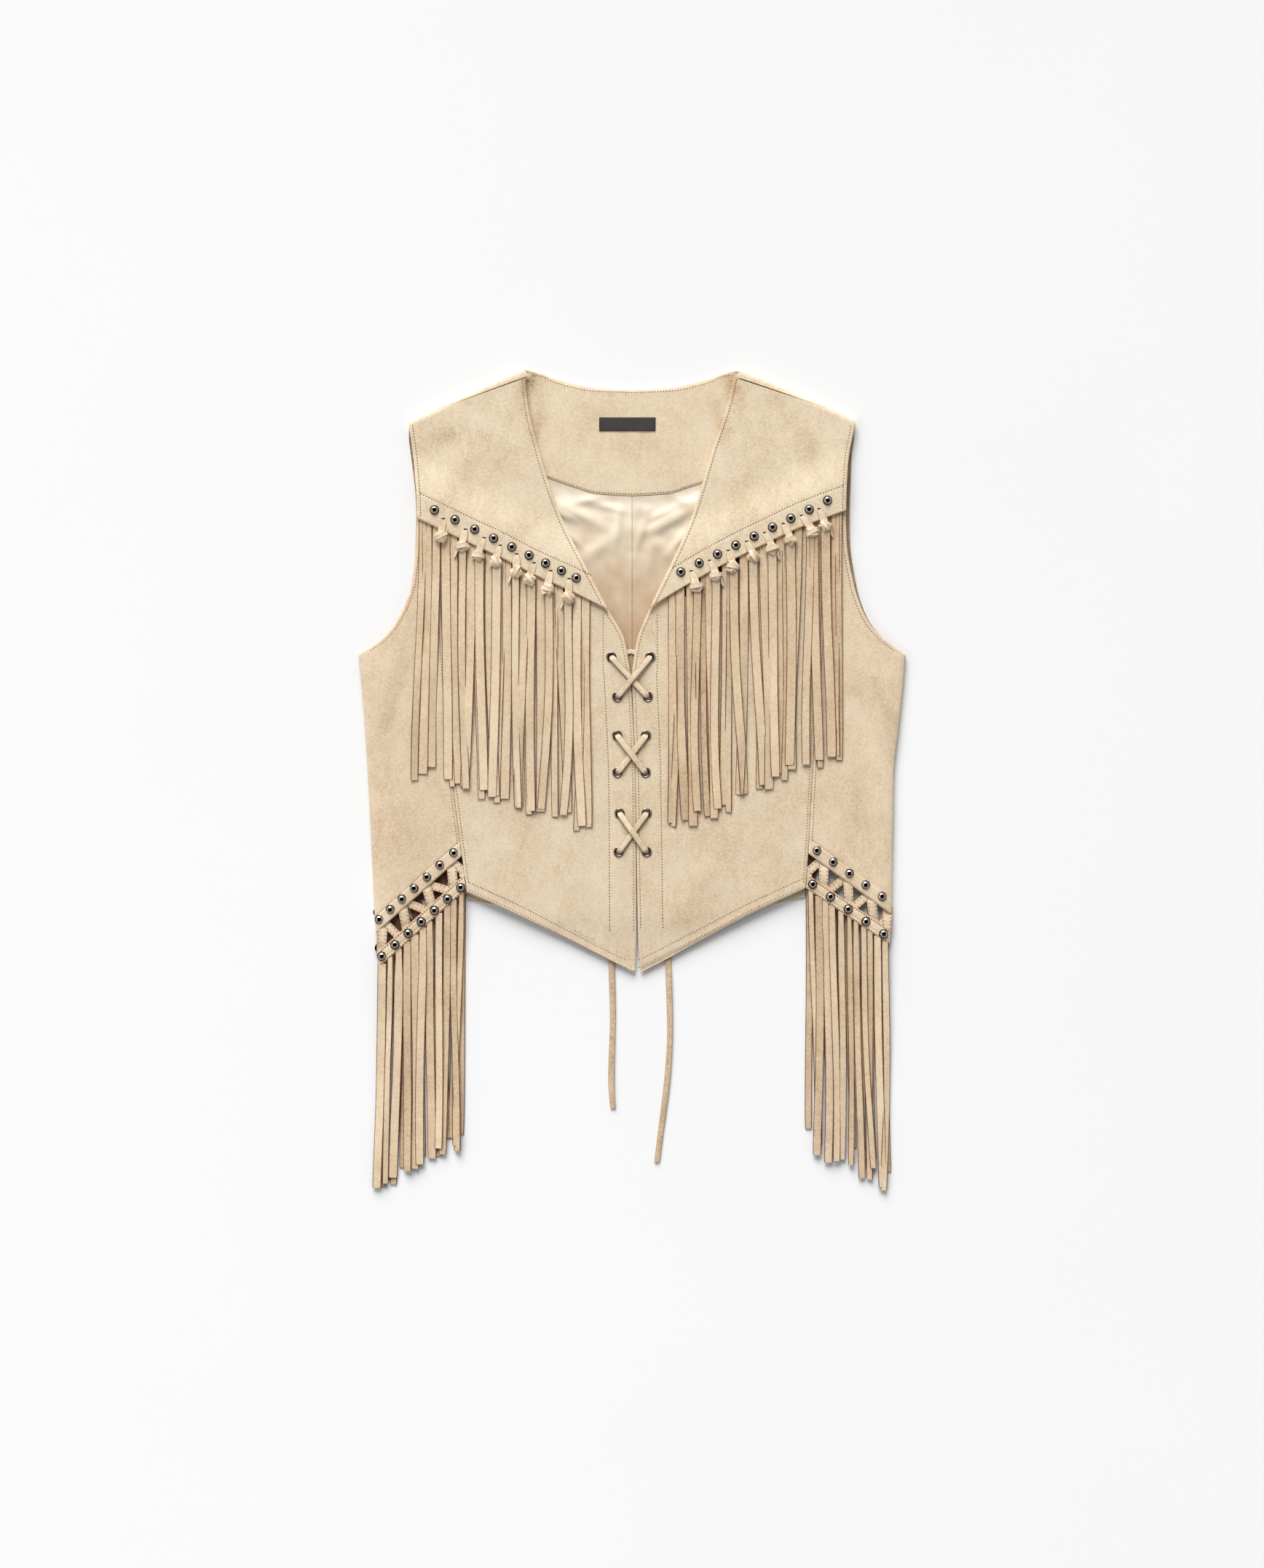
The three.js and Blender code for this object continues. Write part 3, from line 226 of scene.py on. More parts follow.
def stretch(ends):
    # Length along a slanting line for each millimetre across.
    (x0, y0), (x1, y1) = ends
    return math.hypot(1, (y1 - y0) / (x1 - x0))


def shoulderFrame(side):
    neck, tip = shoulders[side]
    length = math.dist(neck, tip)
    along = ((tip[0] - neck[0]) / length, (tip[1] - neck[1]) / length)
    return neck, length, along, (along[1], -along[0])


def shoulderDepth(across, y, side):
    neck, _, _, inward = shoulderFrame(side)
    return (across - neck[0]) * inward[0] + (y - neck[1]) * inward[1]


def foldRise(folds, x, y):
    rise = 0.0
    for cx, cy, turn, long, wide, height in folds:
        if abs(x - cx) + abs(y - cy) > 3.2 * long + 3 * wide:
            continue
        c, s = math.cos(math.radians(turn)), math.sin(math.radians(turn))
        along, beside = (x - cx) * c + (y - cy) * s, (y - cy) * c - (x - cx) * s
        rise += height * math.exp(-((along / long) ** 2) - (beside / wide) ** 2)
    return rise


def ripple(x, y, size, seed):
    return noise.noise(Vector((x / size, y / size, seed)))


def frontHeight(x, y):
    side = sideOf(x)
    inset = clamp((bodyEdge(y, side) - abs(x)) / cloth["sideRoll"])
    away = smooth(shoulderDepth(abs(x), y, side), 6, 45)
    atArmhole = smooth(y, cloth["underarm"] - 10, cloth["underarm"] + 15)
    drop = lerp(cloth["sideDrop"], cloth["armholeDrop"], atArmhole)
    roll = drop * (1 - math.sqrt(1 - (1 - inset) ** 2)) * away
    pastHem = smooth(backHem[0][1] - y, 0, cloth["hemDropLength"]) * (1 - smooth(abs(x), 100, 140))
    folds = foldRise(clothFolds, x, y) + 0.3 * ripple(x, y, 34, 3.0) + 0.14 * ripple(x, y, 13, 8.0)
    return cloth["frontTop"] - roll - cloth["hemDrop"] * pastHem + folds * away


def backHeight(x, y):
    inset = clamp((bodyEdge(y, sideOf(x)) - abs(x)) / cloth["backEdgeRoll"])
    return cloth["backEdgeRise"] * (1 - inset) ** 2 if y < cloth["underarm"] else 0.0


def aroundShoulder(x, y, depth, arc):
    side = sideOf(x)
    sign = -1 if x < 0 else 1
    inward = shoulderFrame(side)[3]
    angle = clamp(arc / shoulderRadius, -math.pi / 2, math.pi / 2)
    beyond = max(arc - math.pi / 2 * shoulderRadius, 0)
    reach = shoulderRadius - (shoulderRadius - depth) * math.cos(angle) + beyond
    shift = reach - shoulderDepth(abs(x), y, side)
    z = shoulderRadius + (shoulderRadius - depth) * math.sin(angle)
    return Vector((x + sign * inward[0] * shift, y + inward[1] * shift, z))


def onFront(x, y, depth):
    inPlane = shoulderDepth(abs(x), y, sideOf(x))
    if inPlane < shoulderRadius:
        return aroundShoulder(x, y, depth, inPlane + flatToArc)
    return Vector((x, y, frontHeight(x, y) - depth))


def onBack(x, y, depth):
    inPlane = shoulderDepth(abs(x), y, sideOf(x))
    if inPlane < shoulderRadius:
        return aroundShoulder(x, y, depth, -inPlane - flatToArc)
    return Vector((x, y, backHeight(x, y) + depth))


def onYoke(x, y, depth):
    point = onFront(x, y, depth)
    overEdge = y - trace(yokeEdge, abs(x), column(sideOf(x)))
    point.z += yokeStack * (1 - smooth(overEdge, 18, 58))
    return point


def above(surface):
    return lambda x, y, lift: surface(x, y, -lift)


def level(surface, depth):
    return lambda x, y, lift: surface(x, y, depth)


def frontFaces(surface):
    # Visible and hidden side of a front panel.
    return above(surface), level(surface, cloth["frontWall"])


backFaces = (level(onBack, cloth["backWall"]), level(onBack, 0))


# Camera: straight above, as in the photo.

view = {"lens": 85, "sensor": 36, "frameHeight": 1.3355, "centre": (0.0, -0.0037), "plane": 0.006}
cameraData = bpy.data.cameras.new("overheadCamera")
cameraData.lens = view["lens"]
cameraData.sensor_width = view["sensor"]
camera = bpy.data.objects.new("overheadCamera", cameraData)
distance = view["frameHeight"] * view["lens"] / view["sensor"]
camera.location = (*view["centre"], view["plane"] + distance)
bpy.context.collection.objects.link(camera)
bpy.context.scene.camera = camera
bpy.context.scene.view_settings.view_transform = "Standard"
print("camera placed")


# Mesh helpers. A piece carries two values for its material: nap and painted shade, darker where positive,
# and the distance to its cut edge in millimetres.

inland = 20.0
slotNames = {"fringe": "fringe", "knot": "fringe", "lace": "fringe", "satin": "satin", "label": "label",
             "stud": "metal", "eyelet": "metal"}


def newPiece():
    return {"verts": [], "faces": [], "napAndShade": [], "edge": []}


def addVerts(piece, points, napsAndShades, edges):
    first = len(piece["verts"])
    piece["verts"].extend(points)
    piece["napAndShade"].extend(napsAndShades)
    piece["edge"].extend(edges)
    return first


def addWall(piece, cols, rows, place, visibleAt, hiddenAt, shade=None):
    # Closed wall of cloth. place gives x, y, lift and distance to the edge for a column and a row.
    width, height = len(cols), len(rows)
    points, napsAndShades, edges = [], [], []
    spots = [place(c, r) for r in rows for c in cols]
    for layer in (visibleAt, hiddenAt):
        for x, y, lift, edge in spots:
            points.append(layer(x, y, lift))
            napsAndShades.append(shade(x, y) if shade else foldRise(toneAndShadePatches, x, y))
            edges.append(edge if layer is visibleAt else inland)
    first = addVerts(piece, points, napsAndShades, edges)

    def corner(spot, layer):
        return first + layer * width * height + spot[1] * width + spot[0]

    def bridge(start, end, flip):
        quad = (corner(start, 0), corner(start, 1), corner(end, 1), corner(end, 0))
        piece["faces"].append(quad[::-1] if flip else quad)

    for j in range(height - 1):
        for i in range(width - 1):
            square = ((i, j), (i + 1, j), (i + 1, j + 1), (i, j + 1))
            piece["faces"].append(tuple(corner(square[n], 0) for n in (0, 1, 2, 3)))
            piece["faces"].append(tuple(corner(square[n], 1) for n in (0, 3, 2, 1)))
    for i in range(width - 1):
        bridge((i, 0), (i + 1, 0), False)
        bridge((i, height - 1), (i + 1, height - 1), True)
    for j in range(height - 1):
        bridge((0, j), (0, j + 1), True)
        bridge((width - 1, j), (width - 1, j + 1), False)


def addStrip(piece, stations, section, napAndShade=0.0, edgeFrom=20.0, turnsOver=False):
    # stations: centre, sideways, half-width, half-thickness. section: (across, up) pairs round the strip.
    # Only the threaded lace turns over, so there the upper side is carried along from ring to ring.
    count, last = len(section), len(stations) - 1
    points, edges = [], []
    for k, (centre, sideways, half, thick) in enumerate(stations):
        tangent = (stations[min(k + 1, last)][0] - stations[max(k - 1, 0)][0]).normalized()
        up = tangent.cross(sideways).normalized()
        if up.z < 0 and not turnsOver:
            up = -up
        side = up.cross(tangent).normalized()
        points += [centre + side * (across * half) + up * (high * thick) for across, high in section]
        edges += [edgeFrom * (1 - abs(across)) for across, _ in section]
    first = addVerts(piece, points, [napAndShade] * len(points), edges)
    for k in range(last):
        for n in range(count):
            a, b = first + k * count + n, first + k * count + (n + 1) % count
            piece["faces"].append((a, b, b + count, a + count))
    piece["faces"].append(tuple(first + n for n in reversed(range(count))))
    piece["faces"].append(tuple(first + last * count + n for n in range(count)))


def smoothRoute(points, steps):
    # Catmull-Rom through vectors, steps points for each span.
    route = []
    for k in range(len(points) - 1):
        p0, p1 = points[max(k - 1, 0)], points[k]
        p2, p3 = points[k + 1], points[min(k + 2, len(points) - 1)]
        for n in range(steps):
            t = n / steps
            route.append(0.5 * (2 * p1 + (p2 - p0) * t + (2 * p0 - 5 * p1 + 4 * p2 - p3) * t * t
                                + (3 * p1 - p0 - 3 * p2 + p3) * t ** 3))
    return route + [points[-1].copy()]


def finishPiece(name, piece, look, node=None, sharpAngle=40):
    # One object at the origin, in its look, that rides with the vest and stands for its node.
    mesh = bpy.data.meshes.new(name)
    mesh.from_pydata([v * mm for v in piece["verts"]], [], piece["faces"])
    for label in ("napAndShade", "edge"):
        mesh.attributes.new(label, "FLOAT", "POINT").data.foreach_set("value", piece[label])
    mesh.update()
    shell = bmesh.new()
    shell.from_mesh(mesh)
    bmesh.ops.recalc_face_normals(shell, faces=shell.faces)
    shell.to_mesh(mesh)
    shell.free()
    mesh.materials.append(looks[look])
    obj = bpy.data.objects.new(name, mesh)
    bpy.context.collection.objects.link(obj)
    makeActive(obj)
    bpy.ops.object.shade_smooth_by_angle(angle=math.radians(sharpAngle))
    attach(obj, "root")
    slotNames.get(look, "suede")
    if node:
        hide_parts(node)
    return obj


def makePanel(name, cols, rows, place, faces, look, node, shade=None, sharpAngle=40):
    piece = newPiece()
    addWall(piece, cols, rows, place, *faces, shade)
    return finishPiece(name, piece, look, node, sharpAngle)


def deselectAll():
    for obj in bpy.context.view_layer.objects:
        obj.select_set(False)


def makeActive(obj):
    deselectAll()
    obj.select_set(True)
    bpy.context.view_layer.objects.active = obj


def marginSteps(lines):
    steps = {0.0, 0.45, 1.1}
    for line in lines:
        steps.update((line - 0.7, line, line + 0.7))
    return sorted(steps)


def spread(first, last, step, length):
    # Column or row settings as (share, offset): close at both edges, even between them.
    inner = [(0, d) for d in first]
    outer = [(1, -d) for d in reversed(last)]
    low, high = first[-1] + step * 0.6, last[-1] + step * 0.6
    count = max(2, round((length - low - high) / step) + 1)
    return inner + [(k / (count - 1), lerp(low, -high, k / (count - 1))) for k in range(count)] + outer


def seamRelief(d, lines, roll=0.5, groove=0.14):
    # Edge turned under: rolled off at the edge, a soft ridge, and grooves that the stitches pull in.
    lift = -roll * (1 - smooth(d, 0, 1.3)) + 0.16 * math.exp(-((d - 1.7) / 0.8) ** 2)
    for line in lines:
        lift -= groove * math.exp(-((d - line) / 0.5) ** 2)
    return lift


# Materials.

def tint(r, g, b):
    return tuple(((v / 255 + 0.055) / 1.055) ** 2.4 if v > 10 else v / 3294.6 for v in (r, g, b)) + (1.0,)


def newGroup(name, inputs, outputs):
    group = bpy.data.node_groups.new(name, "ShaderNodeTree")
    for label, kind, value in inputs:
        socket = group.interface.new_socket(name=label, in_out="INPUT", socket_type=kind)
        if value is not None:
            socket.default_value = value
    for label, kind in outputs:
        group.interface.new_socket(name=label, in_out="OUTPUT", socket_type=kind)
    return group, group.nodes.new("NodeGroupInput"), group.nodes.new("NodeGroupOutput")


def mathNode(tree, operation, first, second=None):
    node = tree.nodes.new("ShaderNodeMath")
    node.operation = operation
    for socket, value in zip(node.inputs, (first, second)):
        if isinstance(value, (int, float)):
            socket.default_value = value
        elif value is not None:
            tree.links.new(value, socket)
    return node.outputs[0]


def noiseNode(tree, vector, scale, detail=3.0, roughness=0.55):
    node = tree.nodes.new("ShaderNodeTexNoise")
    tree.links.new(vector, node.inputs["Vector"])
    if isinstance(scale, (int, float)):
        node.inputs["Scale"].default_value = scale
    else:
        tree.links.new(scale, node.inputs["Scale"])
    node.inputs["Detail"].default_value = detail
    node.inputs["Roughness"].default_value = roughness
    return node.outputs[0]


def weigh(tree, offset, *parts):
    # Sum of node outputs, each times its weight.
    total = offset
    for output, weight in parts:
        total = mathNode(tree, "ADD", mathNode(tree, "MULTIPLY", output, weight), total)
    return total


def makeNapGroup():
    group, inside, outside = newGroup(
        "brushedNap",
        [("Vector", "NodeSocketVector", None), ("Patches", "NodeSocketFloat", 22.0),
         ("Grain", "NodeSocketFloat", 1500.0)],
        [("Tone", "NodeSocketFloat"), ("Height", "NodeSocketFloat")],
    )
    vector, patches, grain = inside.outputs[0], inside.outputs[1], inside.outputs[2]
    brushed = group.nodes.new("ShaderNodeMapping")
    brushed.inputs["Rotation"].default_value = (0, 0, 0.3)
    brushed.inputs["Scale"].default_value = (1, 0.55, 1)
    group.links.new(vector, brushed.inputs["Vector"])
    broad = noiseNode(group, vector, patches, 2.0, 0.5)
    middle = noiseNode(group, brushed.outputs[0], mathNode(group, "MULTIPLY", patches, 6.5), 4.0, 0.62)
    fine = noiseNode(group, vector, grain, 2.0, 0.7)
    coarse = noiseNode(group, vector, mathNode(group, "MULTIPLY", grain, 0.28), 2.0, 0.6)
    tone = weigh(group, -0.37, (broad, 0.36), (middle, 0.3), (fine, 0.7), (coarse, 0.4))
    group.links.new(tone, outside.inputs[0])
    group.links.new(weigh(group, 0.0, (fine, 0.5), (coarse, 0.5)), outside.inputs[1])
    return group


def makeEdgeGroup():
    # Mask for the cut edges: wear, and on the fringe and the strap painted shade in the gaps between pieces.
    group, inside, outside = newGroup(
        "cutEdgeAndShadeMask",
        [("Distance", "NodeSocketFloat", 10.0), ("Width", "NodeSocketFloat", 1.0),
         ("Breakup", "NodeSocketFloat", 0.5)],
        [("Mask", "NodeSocketFloat")],
    )
    reach = mathNode(group, "MULTIPLY", inside.outputs[1], mathNode(group, "ADD", inside.outputs[2], 0.5))
    share = mathNode(group, "DIVIDE", inside.outputs[0], reach)
    flipped = mathNode(group, "MULTIPLY", mathNode(group, "SUBTRACT", 1.0, share), 1.8)
    clamped = mathNode(group, "MINIMUM", mathNode(group, "MAXIMUM", flipped, 0.0), 1.0)
    group.links.new(clamped, outside.inputs[0])
    return group


napGroup = makeNapGroup()
edgeGroup = makeEdgeGroup()


def rampNode(tree, factor, stops):
    ramp = tree.nodes.new("ShaderNodeValToRGB")
    elements = ramp.color_ramp.elements
    elements[0].position, elements[0].color = stops[0]
    elements[1].position, elements[1].color = stops[-1]
    for position, colour in stops[1:-1]:
        elements.new(position).color = colour
    tree.links.new(factor, ramp.inputs[0])
    return ramp.outputs[0]


def mixColour(tree, factor, first, second):
    mix = tree.nodes.new("ShaderNodeMix")
    mix.data_type = "RGBA"
    tree.links.new(factor, mix.inputs[0])
    for socket, value in ((mix.inputs[6], first), (mix.inputs[7], second)):
        if isinstance(value, tuple):
            socket.default_value = value
        else:
            tree.links.new(value, socket)
    return mix.outputs[2]


def paintSurface(tree, shader, colour, height, strength, distance):
    bump = tree.nodes.new("ShaderNodeBump")
    bump.inputs["Strength"].default_value = strength
    bump.inputs["Distance"].default_value = distance
    tree.links.new(height, bump.inputs["Height"])
    tree.links.new(bump.outputs[0], shader.inputs["Normal"])
    tree.links.new(colour, shader.inputs["Base Color"])


def startMaterial(name, roughness):
    material = bpy.data.materials.new(name)
    material.use_nodes = True
    tree = material.node_tree
    shader = tree.nodes["Principled BSDF"]
    shader.inputs["Roughness"].default_value = roughness
    coords = tree.nodes.new("ShaderNodeTexCoord")
    return material, tree, shader, coords.outputs["Object"]


def readAttribute(tree, name):
    node = tree.nodes.new("ShaderNodeAttribute")
    node.attribute_name = name
    return node.outputs["Fac"]


def placeGroup(tree, group, values, links):
    node = tree.nodes.new("ShaderNodeGroup")
    node.node_tree = group
    for label, value in values.items():
        node.inputs[label].default_value = value
    for label, output in links.items():
        tree.links.new(output, node.inputs[label])
    return node


def suedeMaterial(name, light, middle, dark, cutEdgeAndShade, edgeWidth=1.1, patches=22.0):
    material, tree, shader, coords = startMaterial(name, 0.93)
    napAndShade = placeGroup(tree, napGroup, {"Patches": patches}, {"Vector": coords})
    tone = weigh(tree, napAndShade.outputs["Tone"], (readAttribute(tree, "napAndShade"), 0.28))
    light, middle, dark, cutEdgeAndShade = (tint(*colour) for colour in (light, middle, dark, cutEdgeAndShade))
    # The deep stop is painted shade: the nap value reaches it where shade is painted, in the neck corners and
    # on the back.
    deep = tuple(0.4 * v for v in dark[:3]) + (1.0,)
    colour = rampNode(tree, tone, [(0.36, light), (0.52, middle), (0.78, dark), (1.0, deep)])
    edgeMask = placeGroup(tree, edgeGroup, {"Width": edgeWidth},
                      {"Distance": readAttribute(tree, "edge"), "Breakup": napAndShade.outputs["Height"]})
    colour = mixColour(tree, edgeMask.outputs["Mask"], colour, cutEdgeAndShade)
    paintSurface(tree, shader, colour, napAndShade.outputs["Height"], 0.35, 0.0003)
    shader.inputs["Sheen Weight"].default_value = 0.12
    shader.inputs["Sheen Roughness"].default_value = 0.6
    shader.inputs["Specular IOR Level"].default_value = 0.2
    return material


def satinMaterial():
    # Painted shade: darker down inside the neck, where the lining lies in the shadow between the fronts.
    material, tree, shader, coords = startMaterial("ivorySatin", 0.42)
    weave = noiseNode(tree, coords, 2600, 1.0)
    cloud = noiseNode(tree, coords, 38, 3.0)
    height = tree.nodes.new("ShaderNodeSeparateXYZ")
    tree.links.new(coords, height.inputs[0])
    tone = weigh(tree, 1.125, (cloud, 0.6), (weave, 0.2), (height.outputs["Y"], -4.5),
                 (readAttribute(tree, "napAndShade"), 0.5))
    colour = rampNode(tree, tone, [(0.3, tint(250, 239, 219)), (0.55, tint(236, 218, 192)),
                                   (0.95, tint(196, 166, 134))])
    paintSurface(tree, shader, colour, weave, 0.12, 0.0001)
    shader.inputs["Sheen Weight"].default_value = 0.15
    shader.inputs["Specular IOR Level"].default_value = 0.4
    return material


def wovenMaterial(name, light, dark):
    material, tree, shader, coords = startMaterial(name, 0.8)
    wave = tree.nodes.new("ShaderNodeTexWave")
    wave.inputs["Scale"].default_value = 420
    wave.inputs["Distortion"].default_value = 1.5
    tree.links.new(coords, wave.inputs["Vector"])
    threads = weigh(tree, 0.0, (wave.outputs["Fac"], 0.6), (noiseNode(tree, coords, 900, 2.0), 0.4))
    paintSurface(tree, shader, rampNode(tree, threads, [(0.2, dark), (0.8, light)]), threads, 0.3, 0.0002)
    return material


def metalMaterial(name, light, dark, shadeAndPatina, roughness):
    material, tree, shader, coords = startMaterial(name, roughness)
    shader.inputs["Metallic"].default_value = 1.0
    tarnish = noiseNode(tree, coords, 700, 3.0)
    clean = rampNode(tree, tarnish, [(0.4, light), (0.8, dark)])
    # Patina with painted shade where the nap value is set.
    colour = mixColour(tree, readAttribute(tree, "napAndShade"), clean, shadeAndPatina)
    paintSurface(tree, shader, colour, noiseNode(tree, coords, 2500, 2.0), 0.05, 0.00005)
    tree.links.new(weigh(tree, roughness - 0.08, (tarnish, 0.16)), shader.inputs["Roughness"])
    return material


suedes = {  # light, middle, dark and cut edge (on the fringe and the strap partly painted shade), then the edge's width and the patches' scale
    "yoke": ((238, 222, 196), (228, 209, 179), (200, 170, 136), (204, 168, 138)),
    "front": ((232, 214, 187), (222, 202, 173), (194, 165, 131), (204, 168, 138)),
    "side": ((232, 213, 185), (222, 200, 170), (193, 163, 129), (204, 168, 138)),
    "back": ((238, 222, 196), (226, 207, 177), (200, 170, 136), (204, 168, 138)),
    "facing": ((238, 220, 192), (228, 208, 177), (206, 180, 147), (204, 168, 138)),
    # inside: the flesh side of the back, darkened with painted shade for where it shows through the hip
    # lattice.
    "inside": ((122, 90, 66), (100, 70, 50), (76, 52, 37), (90, 64, 46)),
    # The strap's and the fringe's dark cut edges are partly painted shade for the gaps between slats and
    # strands.
    "strap": ((236, 217, 189), (225, 203, 173), (196, 166, 132), (150, 112, 80), 0.6),
    "fringe": ((234, 213, 183), (223, 199, 167), (201, 172, 138), (106, 66, 38), 0.8, 34.0),
    "knot": ((241, 225, 198), (230, 211, 181), (200, 171, 138), (178, 144, 112), 0.5, 60.0),
    "lace": ((240, 224, 198), (228, 208, 179), (196, 168, 136), (176, 146, 116), 0.7, 60.0),
}
looks = {name: suedeMaterial(f"{name}Suede", *values) for name, values in suedes.items()}
looks["satin"] = satinMaterial()
weaves = {
    "label": ("charcoalLabel", (74, 66, 66), (40, 36, 37)),
    "thread": ("sandThread", (160, 126, 92), (130, 98, 68)),
    # slot: painted shadow inside the slits that the knots come through.
    "slot": ("slotShadow", (84, 58, 40), (52, 34, 24)),
}
metals = {  # light, dark, and patina with painted shade
    "stud": ("antiqueNickel", (220, 211, 202), (166, 154, 144), (30, 22, 18)),
    "eyelet": ("darkNickel", (170, 161, 154), (108, 100, 94), (60, 54, 50)),
}
for name, (title, *colours) in weaves.items():
    looks[name] = wovenMaterial(title, *(tint(*colour) for colour in colours))
for name, (title, *colours) in metals.items():
    looks[name] = metalMaterial(title, *(tint(*colour) for colour in colours), 0.24)
print("materials made")


# Free ends of the lace.

lace = {
    "width": 4.8, "threadedWidth": 5.3, "bore": 4.2, "wall": 1.5,
    "inside": 3.75, "overRim": 2.3, "under": 1.5, "over": 3.5,
}
laceTails = {
    "right": [
        (-11.4, -72, 3.75), (-12, -84, 3.75), (-13.6, -98, 3.75), (-15.2, -110, 3.5), (-16.6, -122, 2.4),
        (-17.3, -134, 1.4), (-17.5, -150, 1.1), (-17.2, -168, 1.1), (-16.6, -186, 1.1), (-16.4, -204, 1.1),
        (-16.9, -222, 1.1), (-17.5, -240, 1.1), (-17.7, -258, 1.1), (-17.1, -270, 1.1), (-16.1, -280, 1.1),
    ],
    "left": [
        (12.4, -70, 3.75), (14, -82, 3.75), (18, -95, 3.75), (22.6, -107, 3.6), (26.6, -120, 2.6),
        (29, -133, 1.5), (30.4, -150, 1.1), (31.4, -170, 1.1), (32, -190, 1.1), (32.3, -210, 1.1),
        (31.9, -230, 1.1), (30.5, -250, 1.1), (28.2, -272, 1.1), (25, -296, 1.1), (21.2, -326, 1.1),
    ],
}
# Section of a strip folded in two: rounded fold on one side, the two cut edges on the other.
foldedSection = [
    (-1, 0.3), (-0.8, 0.9), (-0.3, 1), (0.3, 0.9), (0.8, 1), (1, 0.7), (1, 0.15), (0.9, 0),
    (1, -0.15), (1, -0.7), (0.8, -1), (-0.8, -1), (-1, -0.4),
]


def makeTail(side):
    route = smoothRoute([Vector(p) for p in laceTails[side]], 5)
    stations = []
    for k, centre in enumerate(route):
        share = k / (len(route) - 1)
        lean = 0.16 * math.sin(share * 9 + (0 if side == "right" else 2)) * smooth(share, 0.3, 0.6)
        half = lace["width"] / 2 * (1 - 0.05 * math.sin(share * 21))
        stations.append((centre, Vector((1, 0, lean)), half, lace["wall"] / 2))
    piece = newPiece()
    addStrip(piece, stations, foldedSection, 0.75, edgeFrom=3)
    tail = finishPiece(f"laceEnd_{side}", piece, "lace", f"lace_tail_{side}", 50)
    length = sum((b - a).length for a, b in zip(route, route[1:]))
    tuple(v * mm for v in laceTails[side][0])
    print("lace end", side, round(length), "mm")


for side, _ in sides:
    makeTail(side)


# Small parts that are modelled once and copied.

stud = {
    "radius": 4.0, "height": 2.6, "flange": 0.5, "segments": 24, "crown": 2.28, "hollow": 1.3,
    "dimple": (1.4, 1.8), "rim": (2.7, 3.5), "lift": 0.35, "lean": 0.06,
}
ring = {
    "radius": 3.8, "wire": 0.7, "flat": 0.85, "lift": 0.45,
    "barrel": 3.5, "depth": 2.2, "drop": 0.9, "wall": 0.5,
}
thread = {"pitch": 2.5, "long": 0.7, "wide": 0.5, "high": 0.3, "lift": -0.02}


def editAll():
    bpy.ops.object.mode_set(mode="EDIT")
    bpy.ops.mesh.select_all(action="SELECT")


def takeTemplate():
    # Verts and faces of the active object, which is removed.
    bpy.ops.object.mode_set(mode="OBJECT")
    obj = bpy.context.object
    verts = [v.co.copy() for v in obj.data.vertices]
    faces = [tuple(f.vertices) for f in obj.data.polygons]
    bpy.data.objects.remove(obj)
    return verts, faces


def studTemplate():
    # Half a flattened ball on a flange, its crown cut off and sunk in as a dimple.
    deselectAll()
    bpy.ops.mesh.primitive_uv_sphere_add(segments=stud["segments"], ring_count=12, radius=stud["radius"] * mm)
    editAll()
    bpy.ops.transform.resize(value=(0.9, 0.9, stud["height"] / stud["radius"]))
    bpy.ops.mesh.bisect(plane_co=(0, 0, 0.02 * mm), plane_no=(0, 0, 1), clear_inner=True)
    bpy.ops.mesh.extrude_edges_move()
    bpy.ops.transform.resize(value=(1.11, 1.11, 1))
    bpy.ops.mesh.extrude_edges_move(TRANSFORM_OT_translate={"value": (0, 0, -stud["flange"] * mm)})
    bpy.ops.mesh.edge_face_add()
    bpy.ops.mesh.select_all(action="SELECT")
    bpy.ops.mesh.bisect(plane_co=(0, 0, stud["crown"] * mm), plane_no=(0, 0, 1), clear_outer=True)
    bpy.ops.mesh.extrude_edges_move(TRANSFORM_OT_translate={"value": (0, 0, -stud["hollow"] * mm)})
    bpy.ops.transform.resize(value=(0.75, 0.75, 1))
    bpy.ops.mesh.edge_face_add()
    bpy.ops.mesh.select_all(action="SELECT")
    bpy.ops.mesh.normals_make_consistent(inside=False)
    return takeTemplate()


def stitchTemplate():
    deselectAll()
    bpy.ops.mesh.primitive_uv_sphere_add(segments=6, ring_count=4, radius=mm)
    editAll()
    bpy.ops.transform.rotate(value=math.pi / 2, orient_axis="Y", center_override=(0, 0, 0))
    bpy.ops.transform.resize(value=(thread["long"], thread["wide"], thread["high"]))
    return takeTemplate()


def eyeletTemplate():
    deselectAll()
    bpy.ops.mesh.primitive_torus_add(major_radius=ring["radius"] * mm, minor_radius=ring["wire"] * mm,
                                     major_segments=32, minor_segments=10)
    editAll()
    bpy.ops.transform.resize(value=(1, 1, ring["flat"]))
    rimVerts, rimFaces = takeTemplate()
    bpy.ops.mesh.primitive_cylinder_add(vertices=32, radius=ring["barrel"] * mm, depth=ring["depth"] * mm,
                                        end_fill_type="NOTHING", location=(0, 0, -ring["drop"] * mm))
    barrel = bpy.context.object
    solid = barrel.modifiers.new("wall", "SOLIDIFY")
    solid.thickness = ring["wall"] * mm
    solid.offset = -1
    bpy.ops.object.modifier_apply(modifier=solid.name)
    barrel.data.transform(Matrix.Translation(barrel.location))
    barrelVerts, barrelFaces = takeTemplate()
    shift = len(rimVerts)
    return rimVerts + barrelVerts, rimFaces + [tuple(i + shift for i in f) for f in barrelFaces]


studShape = studTemplate()
stitchShape = stitchTemplate()
eyeletShape = eyeletTemplate()


def studShadeAndPatina(radius):
    # Painted shade: dark in the dimple at the middle and again round the rim, where it is partly patina.
    return 1 - smooth(radius, *stud["dimple"]) + smooth(radius, *stud["rim"])


